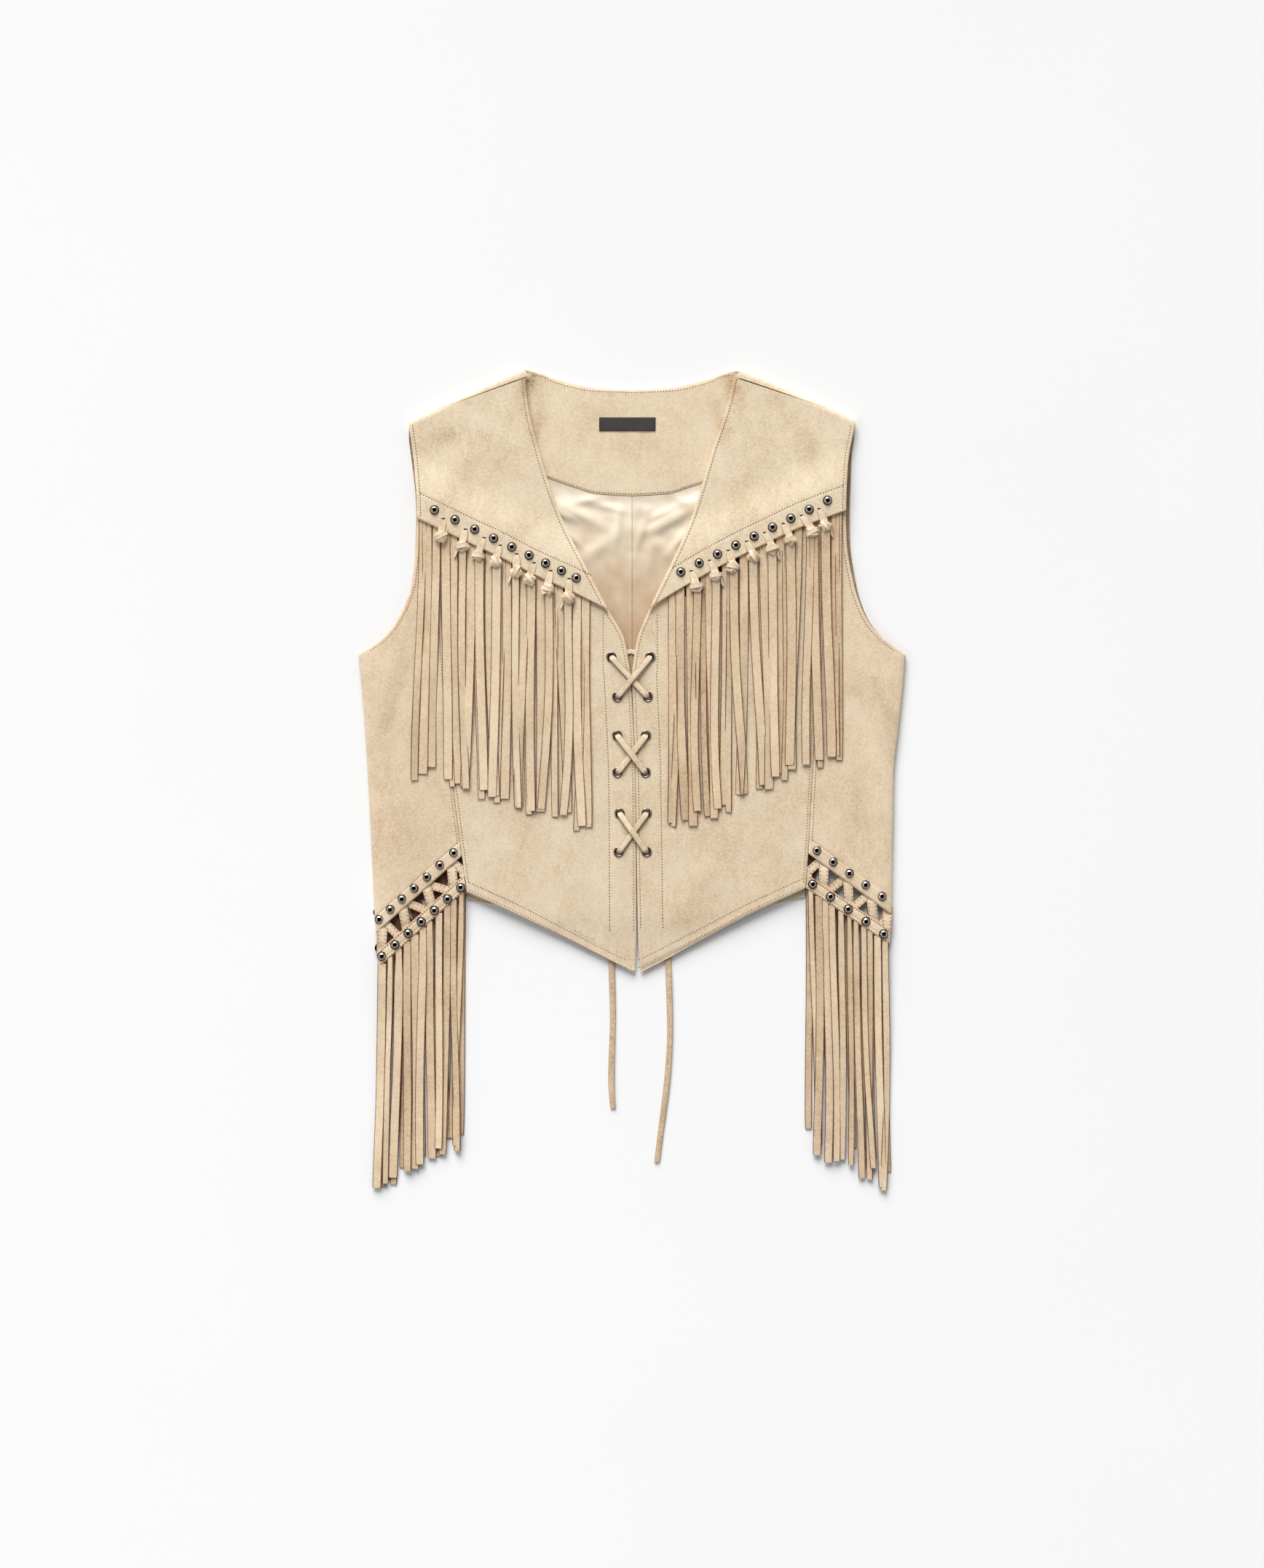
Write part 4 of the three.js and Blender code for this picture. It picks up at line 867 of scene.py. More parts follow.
def addCopy(piece, shape, matrix, shade=None):
    verts, faces = shape
    napsAndShades = [shade(v.xy.length / mm) if shade else 0.0 for v in verts]
    first = addVerts(piece, [matrix @ (v / mm) for v in verts], napsAndShades, [inland] * len(verts))
    piece["faces"].extend(tuple(first + i for i in f) for f in faces)


def addStitches(piece, line, pitch=thread["pitch"]):
    # Stitches along a line of points on the cloth, evenly spaced, each lying along it.
    travelled, due = 0.0, pitch / 2
    for a, b in zip(line, line[1:]):
        length = (b - a).length
        while length > 0 and travelled + length >= due:
            along = (b - a).normalized()
            side = Vector((0, 0, 1)).cross(along).normalized()
            turn = Matrix((along, side, along.cross(side))).transposed().to_4x4()
            addCopy(piece, stitchShape, Matrix.Translation(a.lerp(b, (due - travelled) / length)) @ turn)
            due += pitch
        travelled += length


def sewLines(name, surface, sign, lines, depth=-thread["lift"]):
    # Rows of stitches through spots given as (across, height).
    stitches = newPiece()
    for line in lines:
        addStitches(stitches, [surface(sign * across, y, depth) for across, y in line])
    finishPiece(name, stitches, "thread")


def makeEdgeStuds():
    # Studs of the back face down and show past the side edges.
    piece = newPiece()
    for spot in edgeStuds:
        addCopy(piece, studShape, Matrix.Translation(spot) @ Matrix.Rotation(math.pi, 4, "X"), studShadeAndPatina)
    finishPiece("studs_back", piece, "stud", sharpAngle=50)


def makeStuds(name, row, surface):
    piece = newPiece()
    for even in evenly(0, 1, row["count"] - 1):
        along = even + row.get("bunch", 0) * even * (1 - even)
        x, y = (lerp(row["from"][a], row["to"][a], along) for a in (0, 1))
        tilt = Matrix.Rotation(rng.uniform(-stud["lean"], stud["lean"]), 4, "X")
        tilt = tilt @ Matrix.Rotation(rng.uniform(-stud["lean"], stud["lean"]), 4, "Y")
        addCopy(piece, studShape, Matrix.Translation(surface(x, y, -stud["lift"])) @ tilt, studShadeAndPatina)
    finishPiece(name, piece, "stud", sharpAngle=50)


# Back, neck facing, lining and label.

backGrid = {  # columns as shares of the half-width, closer at the edges and at the hip notch
    "notch": {"right": [0.6493, 0.639], "left": [0.673, 0.6652]},
    "outer": [1, 0.997, 0.991, 0.982, 0.97, 0.95, 0.925, 0.895, 0.86, 0.82, 0.78, 0.74, 0.7],
    "middle": [0.62, 0.58, 0.54, 0.503, 0.497, 0.49, 0.481, 0.47, 0.452, 0.41, 0.37, 0.33, 0.29, 0.25, 0.21,
               0.165, 0.12, 0.08, 0.04],
    "rows": (40, 10, 30, 12), "chest": 152, "shoulder": 24,
    "shoulderSpan": 190.3, "neckWidth": 86, "seamStart": 95.7,
}


def makeBack():
    cols = {0}
    for side, sign in sides:
        cols.update(sign * c for c in backGrid["outer"] + backGrid["notch"][side] + backGrid["middle"])
    cols = sorted(cols)
    rows = [(part, k / count) for part, count in enumerate(backGrid["rows"]) for k in range(count)] + [(3, 1)]

    def bottom(c):
        side, across = sideOf(c), abs(c)
        hemWidth = sideSeam[1][column(side)]
        if across <= backGrid["notch"][side][1]:
            return trace(backHem, across * hemWidth)
        return lineHeight(hipCut[side], across * bodyEdge(lineHeight(hipCut[side], across * hemWidth), side))

    def seamHeight(side, across):
        neck, length, along, inward = shoulderFrame(side)
        travelled = clamp((across - neck[0]) / along[0] / length)
        arc = lerp(cloth["shoulderWrap"] + flatToArc, 0, travelled) - 0.05
        return neck[1] + (across - neck[0]) * along[1] / along[0] + (arc + flatToArc) / -inward[1]

    def top(c):
        side, across = sideOf(c), abs(c) * backGrid["shoulderSpan"]
        seamStart = backGrid["seamStart"]
        if across <= backGrid["neckWidth"]:
            return trace(backNeck, across)
        if across >= seamStart:
            return seamHeight(side, across)
        return trace(neckCorner + [(seamStart, seamHeight(side, seamStart))], across)

    spans = {c: (bottom(c), top(c)) for c in cols}

    def place(c, r):
        low, high = spans[c]
        levels = (low, cloth["underarm"], backGrid["chest"], high - backGrid["shoulder"], high)
        y = lerp(levels[r[0]], levels[r[0] + 1], r[1])
        return c * backEdge(y, sideOf(c)), y, 0.0, inland

    # Painted shade: the back is darker from just above the hem up to the shoulder wrap, where it shows only
    # in the shade under the fronts and past the armholes.
    def shade(x, y):
        return 1.6 * smooth(y, -90, -60) * (1 - smooth(y, 292, 302))

    return makePanel("backPanel", cols, rows, place, backFaces, "back", "back", shade)


facingPanel = {"seam": 1.6, "topSeam": 1.7, "hemWidth": 97, "neckWidth": 86}


def makeFacing():
    lines, hemWidth = [facingPanel["seam"]], facingPanel["hemWidth"]
    cols = evenly(-1, 1, 64)
    rows = [(0, d) for d in marginSteps(lines)] + [(share, lerp(7, -3, share)) for share in evenly(0, 1, 22)]
    rows += [(1, d) for d in (-2.4, -1.7, -1.0, -0.45, 0)]

    def place(c, r):
        top = trace(backNeck, 88 * abs(c)) - cloth["seamGap"] - 1.2 * smooth(abs(c), 0.85, 1)
        bottom = trace(facingHem, hemWidth * abs(c))
        y = lerp(bottom, top, r[0]) + r[1]
        lift = seamRelief(y - bottom, lines) + seamRelief(top - y, [facingPanel["topSeam"]], 0.35)
        lift += 0.25 * ripple(c * hemWidth, y, 26, 5.0)
        return c * lerp(hemWidth, facingPanel["neckWidth"], smooth(y, 330, 347)), y, lift, inland

    def visible(x, y, lift):
        return onBack(x, y, insideHeight + cloth["facingWall"] + lift)

    faces = (visible, level(onBack, insideHeight))
    made = makePanel("neckFacing", cols, rows, place, faces, "facing", "neck_facing")
    stitches = newPiece()
    for row in ((0, lines[0]), (1, -facingPanel["topSeam"])):
        addStitches(stitches, [visible(*place(c, row)[:3]) for c in evenly(-0.98, 0.98, 120)])
    finishPiece("facingStitches", stitches, "thread")
    return made


liningPanel = {"underFront": 14, "lowest": 80, "creases": 2.0, "puckers": (1.0, 0.4, 1.1), "highest": 2.6}


def makeLining(side, sign):
    cols, rows = evenly(0, 1, 36), evenly(0, 1, 70)
    broad, fine, upper = liningPanel["puckers"]

    def edgeAt(y):
        return openingEdge(y, side) + liningPanel["underFront"]

    def place(c, r):
        top = facingHem[0][1]
        for _ in range(4):
            top = trace(facingHem, c * edgeAt(top)) - 2 * cloth["seamGap"]
        y = lerp(liningPanel["lowest"], top, r)
        x = sign * lerp(cloth["seamGap"] / 2, edgeAt(max(y, cloth["neckPlunge"])), c)
        folds = liningPanel["creases"] * foldRise(liningFolds, x, y) * smooth(y, 150, 215)
        loose = broad * ripple(x * 0.7, y * 1.3, 17, 2.0) + fine * ripple(x * 0.6, y, 8, 9.0)
        folds += loose * lerp(0.25, 1, smooth(y, 180, 215))
        folds += upper * ripple(x * 0.6 + y * 0.3, y, 11, 6.0) * smooth(y, 200, 228)
        tuck = (0.5 if side == "right" else 0.1) * math.exp(-(x / 1.6) ** 2)
        tuck += 0.55 * math.exp(-((top - y) / 2.5) ** 2)
        return x, y, clamp(folds, -0.4, liningPanel["highest"]) * smooth(top - y, 0, 6) + tuck, inland

    def visible(x, y, lift):
        return Vector((x, y, insideHeight + cloth["liningWall"] + lift))

    def hidden(x, y, lift):
        return Vector((x, y, insideHeight + max(lift, 0) * 0.9))

    return makePanel(f"satinLining_{side}", cols, rows, place, (visible, hidden), "satin", f"lining_{side}",
                     sharpAngle=60)


label = {"size": (48, 11.6, 0.7), "centre": (-4, 303), "stitches": 1.8}


def makeLabel():
    width, depth, wall = label["size"]
    base = insideHeight + cloth["facingWall"] + 0.25
    cols = [0, 0.012, 0.03] + [k / 20 for k in range(1, 20)] + [0.97, 0.988, 1]
    rows = [0, 0.05, 0.12] + [k / 8 for k in range(2, 7)] + [0.88, 0.95, 1]

    def place(c, r):
        x = label["centre"][0] + (c - 0.5) * width
        y = label["centre"][1] + (r - 0.5) * depth
        rim = min(min(c, 1 - c) * width, min(r, 1 - r) * depth)
        return x, y, 0.25 * ripple(x, y, 14, 4.0) - 0.25 * (1 - smooth(rim, 0, 0.8)), inland

    faces = (lambda x, y, lift: Vector((x, y, base + wall + lift)), lambda x, y, lift: Vector((x, y, base)))
    made = makePanel("neckLabel", cols, rows, place, faces, "label", "label")
    stitches = newPiece()
    for end in (-1, 1):
        x = label["centre"][0] + end * (width / 2 - 1.1)
        line = [Vector((x, label["centre"][1] + d, base + wall + 0.05)) for d in (-5.4, 5.4)]
        addStitches(stitches, line, label["stitches"])
    finishPiece("labelStitches", stitches, "label")
    return made


back = makeBack()
facing = makeFacing()
linings = [makeLining(side, sign) for side, sign in sides]
labelPiece = makeLabel()
print("back, facing, lining and label made")


# Centre fronts.

front = {  # rows of stitches, by their distance from each edge
    "edge": 2.3, "placket": {"right": 22.7, "left": 21.3}, "hem": [2.3, 8.3], "seam": 2.4, "neck": 3.0,
    "hemSlope": 1.12, "underYoke": 13, "eyeletHole": 3.75, "width": 150, "rows": (58, 32),
    "insideTop": 156, "edgeEnds": 150, "placketEnds": 144, "clear": 3,
}
eyelets = [  # height, right, left
    (104.4, -17.6, 15.5), (70.6, -12.6, 13.4), (37.6, -12.6, 11.8), (6.2, -12.4, 11.5), (-28.7, -10.6, 12.4),
    (-61.5, -11.4, 12.4),
]


def slopeFactor(edge, y, side):
    return math.hypot(1, (edge(y + 1, side) - edge(y - 1, side)) / 2)


def seamEdge(y, side):
    return trace(princessSeam, y, column(side)) - cloth["seamGap"] / 2


def makeFront(side, sign):
    n, plunge, hemSlope = column(side), cloth["neckPlunge"], front["hemSlope"]
    placket = front["placket"][side]
    lead = marginSteps([front["edge"]]) + [5.5, 8.5, 11.5, 14.5, 17.5] + [placket + d for d in (-0.7, 0, 0.7)]
    cols = spread(lead, marginSteps([front["seam"]]), cloth["gridStep"], front["width"])
    lower, upper = front["rows"]
    rows = [(0, d * hemSlope) for d in marginSteps(front["hem"])]
    rows += [(k / lower, lerp(8, 0, k / lower)) for k in range(lower)]
    rows += [(1 + share, 0) for share in evenly(0, 1, upper)]
    tops = (front["insideTop"], trace(yokeEdge, princessSeam[-1][n], n) + front["underYoke"])

    def slantAt(y):
        return slopeFactor(openingEdge, max(y, plunge + 1), side) if y > plunge else 1

    def place(c, r):
        hemAcross = lerp(frontHem[0][0], princessSeam[0][n], c[0]) + c[1]
        bottom, top = trace(frontHem, hemAcross), lerp(*tops, c[0])
        y = lerp(bottom, plunge, min(r[0], 1)) + (top - plunge) * max(r[0] - 1, 0) + r[1]
        inner, outer, slant = openingEdge(y, side), seamEdge(y, side), slantAt(y)
        across = lerp(inner, outer, c[0]) + c[1] * (slant if c[0] < 0.2 else 1)
        lines = [front["edge"]] + ([placket] if y < plunge else [])
        lift = seamRelief((across - inner) / slant, lines) + seamRelief(outer - across, [front["seam"]], 0.7)
        lift += seamRelief((y - trace(frontHem, across)) / hemSlope, front["hem"])
        return sign * across, y, lift, inland

    panel = makePanel(f"frontPanel_{side}", cols, rows, place, frontFaces(onFront), "front", f"front_{side}")
    cutEyeletHoles(panel, side)

    edgeLine, placketLine = [], []
    for y in (place((0.5, 0), r)[1] for r in rows):
        if y > front["edgeEnds"]:
            continue
        depth = lerp(front["edge"], front["neck"], smooth(y, plunge, plunge + 20))
        inner = openingEdge(y, side) + depth * slantAt(y)
        if y > trace(frontHem, inner) + front["clear"]:
            edgeLine.append((inner, y))
        held = openingEdge(min(y, plunge), side) + placket
        if trace(frontHem, held) + front["clear"] < y < front["placketEnds"]:
            placketLine.append((held, y))
    lines = [edgeLine, placketLine, [(seamEdge(y, side) - front["seam"], y) for y in evenly(-88, 190, 89)]]
    hemSpots = evenly(5, seamEdge(-90, side) - 3, 80)
    lines += [[(x, trace(frontHem, x) + depth * hemSlope) for x in hemSpots] for depth in front["hem"]]
    sewLines(f"frontStitches_{side}", onFront, sign, lines)
    return panel


def cutEyeletHoles(panel, side):
    for row in eyelets:
        deselectAll()
        place = (row[column(side)] * mm, row[0] * mm, 6 * mm)
        radius = front["eyeletHole"] * mm
        bpy.ops.mesh.primitive_cylinder_add(vertices=20, radius=radius, depth=12 * mm, location=place)
        cutter = bpy.context.object
        makeActive(panel)
        hole = panel.modifiers.new("hole", "BOOLEAN")
        hole.operation = "DIFFERENCE"
        hole.object = cutter
        bpy.ops.object.modifier_apply(modifier=hole.name)
        bpy.data.objects.remove(cutter)


fronts = {side: makeFront(side, sign) for side, sign in sides}
print("centre fronts made")


# Side fronts.

sideFront = {
    "seam": 2.4, "hip": [1.6, 9.0], "armhole": 3.1, "fold": 10.4, "foldRise": 0.45,
    "width": 72, "rows": (60, 40), "armLineEnds": 222,
}


def makeSideFront(side, sign):
    n, cut, underarm = column(side), hipCut[side], cloth["underarm"]
    hipSlope = stretch(cut)
    outerSteps = [0, 0.4, 0.9, 1.6, 2.4, 3.1, 3.8, 5]
    cols = spread(marginSteps([sideFront["seam"]]), outerSteps, 2.6, sideFront["width"])
    first, second = sideFront["hip"]
    low = marginSteps([first]) + [4, 6.5] + [second + d for d in (-0.7, 0, 0.3, 0.9, 1.6)]
    lower, upper = sideFront["rows"]
    rows = [(0, d * hipSlope) for d in low] + [(k / lower, lerp(16, 0, k / lower)) for k in range(lower)]
    rows += [(1 + share, 0) for share in evenly(0, 1, upper)]

    def acrossAt(c, y):
        inner = trace(princessSeam, y, n) + cloth["seamGap"] / 2
        return inner, lerp(inner, bodyEdge(y, side), c[0]) + c[1]

    def place(c, r):
        bottom = lineHeight(cut, lerp(cut[0][0], cut[1][0], c[0]) + c[1])
        for _ in range(3):
            bottom = lineHeight(cut, acrossAt(c, bottom)[1])
        top = trace(yokeEdge, lerp(princessSeam[-1][n], yokeEdge[-1][0], c[0]), n) + front["underYoke"]
        y = lerp(bottom, underarm, min(r[0], 1)) + (top - underarm) * max(r[0] - 1, 0) + r[1]
        inner, across = acrossAt(c, y)
        fromHip = (y - lineHeight(cut, across)) / hipSlope
        fold, rise = sideFront["fold"], sideFront["foldRise"]
        lift = seamRelief(across - inner, [sideFront["seam"]], 0.7) + seamRelief(fromHip, sideFront["hip"])
        lift += rise * (1 - smooth(fromHip, fold - 0.5, fold) - math.exp(-((fromHip - fold) / 0.5) ** 2))
        if y > underarm:
            lift += seamRelief(bodyEdge(y, side) - across, [sideFront["armhole"]], 0.4)
        return sign * across, y, lift, fromHip + 0.3

    faces = frontFaces(onFront)
    panel = makePanel(f"sideFrontPanel_{side}", cols, rows, place, faces, "side", f"side_front_{side}")

    lines = [[(trace(princessSeam, y, n) + sideFront["seam"], y) for y in evenly(-60, 192, 90)]]
    hipSpots = evenly(trace(princessSeam, -62, n) + 3, cut[1][0] - 1, 40)
    lines += [[(x, lineHeight(cut, x) + depth * hipSlope) for x in hipSpots] for depth in sideFront["hip"]]
    armLine = []
    for y in evenly(underarm + 3, sideFront["armLineEnds"], 59):
        slant = min(slopeFactor(bodyEdge, y, side), 1.6)
        armLine.append((bodyEdge(y, side) - sideFront["armhole"] * slant, y))
    sewLines(f"sideFrontStitches_{side}", onFront, sign, lines + [armLine])
    return panel


sideFronts = {side: makeSideFront(side, sign) for side, sign in sides}
print("side fronts made")


# Yokes with studs and slots.

yoke = {
    "neck": 3.1, "armhole": 3.1, "band": 22.0, "tip": 144.5, "width": 140, "depth": 150,
    "neckLineEnds": 342, "armLineEnds": 302, "bandLine": (34, 180),
}
studRows = {
    "yoke_right": {"count": 9, "from": (-168, 229.4), "to": (-47.4, 171.7), "bunch": 0.18},
    "yoke_left": {"count": 9, "from": (166.2, 237.5), "to": (41.5, 176.7)},
    "side_front_right": {"count": 7, "from": (-151.8, -62.3), "to": (-215.2, -119), "bunch": 0.13},
    "side_front_left": {"count": 5, "from": (157.2, -60.4), "to": (212.7, -99.4)},
    "hip_band_front_right": {"count": 7, "from": (-145.9, -91.8), "to": (-213, -150.3)},
    "hip_band_front_left": {"count": 5, "from": (153.8, -89), "to": (214.2, -131.4)},
}
edgeStuds = [(-216.6, -113, 3.2), (-215.4, -143.5, 3.2), (217.4, -111, 3.2)]


def makeYoke(side, sign):
    n = column(side)
    neck, _, along, inward = shoulderFrame(side)
    tips = (trace(neckEdge, yoke["tip"], n), yokeEdge[-1][0] - 1)

    def seamAt(across, depth):
        return neck[1] + (across - neck[0]) * along[1] / along[0] + depth / inward[1]

    inner = (yoke["tip"], seamAt(neck[0], cloth["shoulderWrap"] + 0.05))
    outer = (trace(yokeEdge, tips[1], n), seamAt(armhole[-1][n], 0.05 - flatToArc))
    cols = spread(marginSteps([yoke["neck"]]), marginSteps([yoke["armhole"]]), 2.8, 120)
    rows = [(0, d) for d in (0, 0.35, 0.8, 1.6)] + [(share, lerp(3, -3, share)) for share in evenly(0, 1, 64)]
    rows += [(1, -d) for d in (1.6, 0.9, 0.35, 0)]

    def place(c, r):
        # Straight from the neck to the armhole, and bowed along the pointed lower edge.
        innerY, outerY = lerp(*inner, r[0]) + r[1], lerp(*outer, r[0]) + r[1]
        share = clamp(c[0] + c[1] / yoke["width"])
        bow = trace(yokeEdge, lerp(*tips, share), n) - lerp(inner[0], outer[0], share)
        pinned = smooth(share, 0, 0.07) * (1 - clamp(r[0] + r[1] / yoke["depth"]))
        slant = slopeFactor(openingEdge, max(innerY, 96), side)
        low, high = openingEdge(innerY, side), bodyEdge(outerY, side)
        across = lerp(low, high, c[0]) + c[1] * lerp(slant, 1, c[0])
        y = lerp(innerY, outerY, clamp((across - low) / (high - low))) + bow * pinned
        fromEdge = y - trace(yokeEdge, across, n)
        lift = seamRelief((across - openingEdge(y, side)) / slant, [yoke["neck"]], 0.45)
        lift += seamRelief(bodyEdge(y, side) - across, [yoke["armhole"]], 0.45)
        groove = math.exp(-((fromEdge - yoke["band"]) / 0.7) ** 2)
        lift -= 0.3 * (1 - smooth(fromEdge, 0, 0.8) + groove)
        return sign * across, y, lift, fromEdge + 0.2

    panel = makePanel(f"yokePanel_{side}", cols, rows, place, frontFaces(onYoke), "yoke", f"yoke_{side}")

    neckLine = []
    for y in evenly(yoke["tip"] + 5, yoke["neckLineEnds"], 120):
        neckLine.append((openingEdge(y, side) + yoke["neck"] * slopeFactor(openingEdge, y, side), y))
    armHeights = evenly(outer[0] + 1, yoke["armLineEnds"], 120)
    armLine = [(bodyEdge(y, side) - yoke["armhole"], y) for y in armHeights]
    bandLine = [(x, trace(yokeEdge, x, n) + yoke["band"]) for x in evenly(*yoke["bandLine"], 90)]
    sewLines(f"yokeStitches_{side}", onYoke, sign, (neckLine, armLine, bandLine))
    makeStuds(f"studs_yoke_{side}", studRows[f"yoke_{side}"], onYoke)
    return panel


yokes = {side: makeYoke(side, sign) for side, sign in sides}
for side, _ in sides:
    makeStuds(f"studs_side_{side}", studRows[f"side_front_{side}"], onFront)
    makeStuds(f"studs_hip_{side}", studRows[f"hip_band_front_{side}"], onFront)
makeEdgeStuds()
print("yokes and studs made")


# Chest fringe and its knots.

# A row's shade darkens that fringe all over: painted shade for the deeper shadow between the left strands.
chest = {
    "right": {"count": 19, "inner": 36, "outer": 177.5, "innerTip": -41, "outerTip": 13, "shade": 0.0},
    "left": {"count": 19, "inner": 30, "outer": 177, "innerTip": -43, "outerTip": 28, "shade": 0.42},
}
strand = {
    "wall": 1.0, "stations": 26, "rootHeight": 6.5, "width": (0.9, 1.12),
    "bend": (1.0, 3.6), "drift": 2.6, "lean": 0.14, "twists": (0.05, 0.15, 0.35), "layers": (0.0, 0.7, 0.3),
}
strandSection = [
    (-1, 0.5), (-0.94, 1), (0, 0.86), (0.94, 1), (1, 0.5), (1, -0.7), (0.9, -1), (-0.9, -1), (-1, -0.7),
]
knots = {  # across, drop below the yoke's edge, and slot
    "right": [(162.4, 6.2, 160.6), (144.5, 6.2, 141.6), (130.8, 8, 126), (115.9, 6.2, 112.2), (98.6, 6, 98),
              (86.8, 6.2, 83.5), (71.9, 7.6, 69.2), (53.9, 6.2, 53.6)],
    "left": [(54.6, 6, 50.5), (71.3, 6, 66.3), (85.6, 6, 82), (102.9, 6, 97.6), (119, 7, 113),
             (134.5, 7, 128.6), (153.1, 8, 144.4), (164.3, 7, 159.2)],
}
knot = {"size": (5.0, 4.9, 3.1), "slotWidth": 4.4, "loopWidth": 6.8, "loopReach": 9, "strapHalf": 1.9}
strapSection = [(-1, 0.1), (-0.9, 0.9), (0, 0.8), (0.9, 0.9), (1, 0.1), (0.85, -1), (-0.85, -1)]


def knotPlace(row, side, sign):
    across, drop, _ = row
    x, y = sign * across, trace(yokeEdge, across, column(side)) - drop
    return Vector((x, y, frontHeight(x, y) + cloth["frontWall"] + knot["size"][2] * 0.8))


def addStrand(piece, route, width, lean, turns, napAndShade, narrow=0.0):
    stations = []
    for k, centre in enumerate(route):
        share = k / (len(route) - 1)
        tilt = turns[0] * math.sin(turns[1] + 6.5 * share) * smooth(share, 0.1, 0.5)
        tilt += lean * smooth(share, 0.05, 0.3)
        taper = 1 - narrow * (1 - smooth(share, 0, 0.16)) - 0.05 * smooth(share, 0.93, 1.0)
        stations.append((centre, Vector((1, 0, tilt)), width * taper / 2, strand["wall"] / 2))
    addStrip(piece, stations, strandSection, napAndShade, edgeFrom=width / 2)


def hangOnChest(piece, side, sign, root, top, tip, width, layer, tone, startAt=None):
    phase, bend = rng.uniform(0, 6.28), rng.uniform(*strand["bend"])
    drift = rng.uniform(-1, 1) * strand["drift"]
    route = []
    for share in evenly(0, 1, strand["stations"] - 1):
        y = lerp(top, tip, share)
        sway = bend * (math.sin(phase + share * 3.4) - math.sin(phase)) * share + drift * share
        x = root + sway + 1.4 * math.sin(root * 0.06 + share * 3) * share
        x = sign * min(x, bodyEdge(y, side) - width / 2 - 0.5)
        ground = max(frontHeight(x - width / 2, y), frontHeight(x + width / 2, y)) + 0.3 + strand["wall"] / 2
        curl = 0.5 * math.sin(share * 5 + phase) ** 2 * smooth(share, 0.1, 0.3)
        lift = layer * (1 - 0.35 * smooth(share, 0.7, 1)) + curl
        if startAt is None:
            z = ground + lift * smooth(share, 0.02, 0.2)
        else:
            z = lerp(startAt, ground + lift, smooth(share, 0, 0.1))
        route.append(Vector((x, y, z)))
    lean, twist = rng.uniform(-1, 1) * strand["lean"], rng.choice(strand["twists"])
    addStrand(piece, route, width, lean, (twist, phase), tone)


def makeChestFringe(side, sign):
    n, rows = column(side), chest[side]
    inner, outer = rows["inner"], rows["outer"]
    piece = newPiece()
    pitch = (outer - inner) / rows["count"]
    roots = [inner + (k + 0.5) * pitch + rng.uniform(-0.8, 0.8) for k in range(rows["count"])]
    centres = [knotPlace(row, side, sign) for row in knots[side]]
    for k, root in enumerate(roots):
        width = pitch * rng.uniform(*strand["width"])
        tip = lerp(rows["innerTip"], rows["outerTip"], clamp((root - inner) / (outer - inner)))
        tip += rng.uniform(-8, 5)
        nearest = min(centres, key=lambda c: abs(abs(c.x) - root))
        tone = rng.uniform(-0.2, 0.3) + rows["shade"]
        if abs(abs(nearest.x) - root) < pitch * 0.5:
            hangOnChest(piece, side, sign, lerp(root, abs(nearest.x), 0.6), nearest.y - 1.5, tip, width, 1.5,
                        tone - 0.25, nearest.z + 0.3)
        else:
            top = trace(yokeEdge, root, n) + strand["rootHeight"]
            hangOnChest(piece, side, sign, root, top, tip, width * 1.04, strand["layers"][k % 3], tone)
        if k % 3 == 0:
            between = root + pitch * rng.uniform(0.4, 0.6)
            top = trace(yokeEdge, between, n) + strand["rootHeight"]
            tip -= rng.uniform(2, 8)
            hangOnChest(piece, side, sign, between, top, tip, width * 0.8, -0.1, tone + 0.1)

    def backing(c, r):
        across = lerp(inner, outer, c)
        return sign * across, trace(yokeEdge, across, n) + (10.5 if r else 3), 0, inland

    def high(rise):
        return lambda x, y, lift: Vector((x, y, frontHeight(x, y) + rise))

    addWall(piece, evenly(0, 1, 40), [0, 1], backing, high(1.7), high(0.3))
    return finishPiece(f"chestFringe_{side}", piece, "fringe", f"fringe_chest_{side}", 30)


def knotBody():
    deselectAll()
    bpy.ops.mesh.primitive_ico_sphere_add(subdivisions=2, radius=mm)
    editAll()
    bpy.ops.transform.resize(value=knot["size"])
    return takeTemplate()


knotShape = knotBody()


def addKnotBody(piece, centre, turn, seed):
    # A squarish lump with dents.
    crumpled = []
    for v in knotShape[0]:
        p = v / mm
        boxy = sum(abs(p[a] / knot["size"][a]) ** 3 for a in range(3)) ** (-1 / 3)
        dent = boxy * (1 + 0.5 * noise.noise(p * 0.36 + seed))
        crumpled.append(turn @ (p * dent) + centre)
    first = addVerts(piece, crumpled, [rng.uniform(0.1, 0.5)] * len(crumpled), [inland] * len(crumpled))
    piece["faces"].extend(tuple(first + i for i in f) for f in knotShape[1])


def addKnotStrap(piece, centre, turn, slant):
    # The strap wraps the knot once, on a slant.
    width, _, height = knot["size"]
    band = []
    for angle in evenly(0, math.pi, 10):
        local = Vector((math.cos(angle) * (width + 0.15), 0.4 + math.cos(angle) * slant * 4,
                        math.sin(angle) * (height + 0.35) - 0.2))
        band.append((turn @ local + centre, turn @ Vector((-slant * 0.7, 1, 0)), knot["strapHalf"], 0.4))
    addStrip(piece, band, strapSection, rng.uniform(-0.5, 0.2), edgeFrom=knot["strapHalf"])


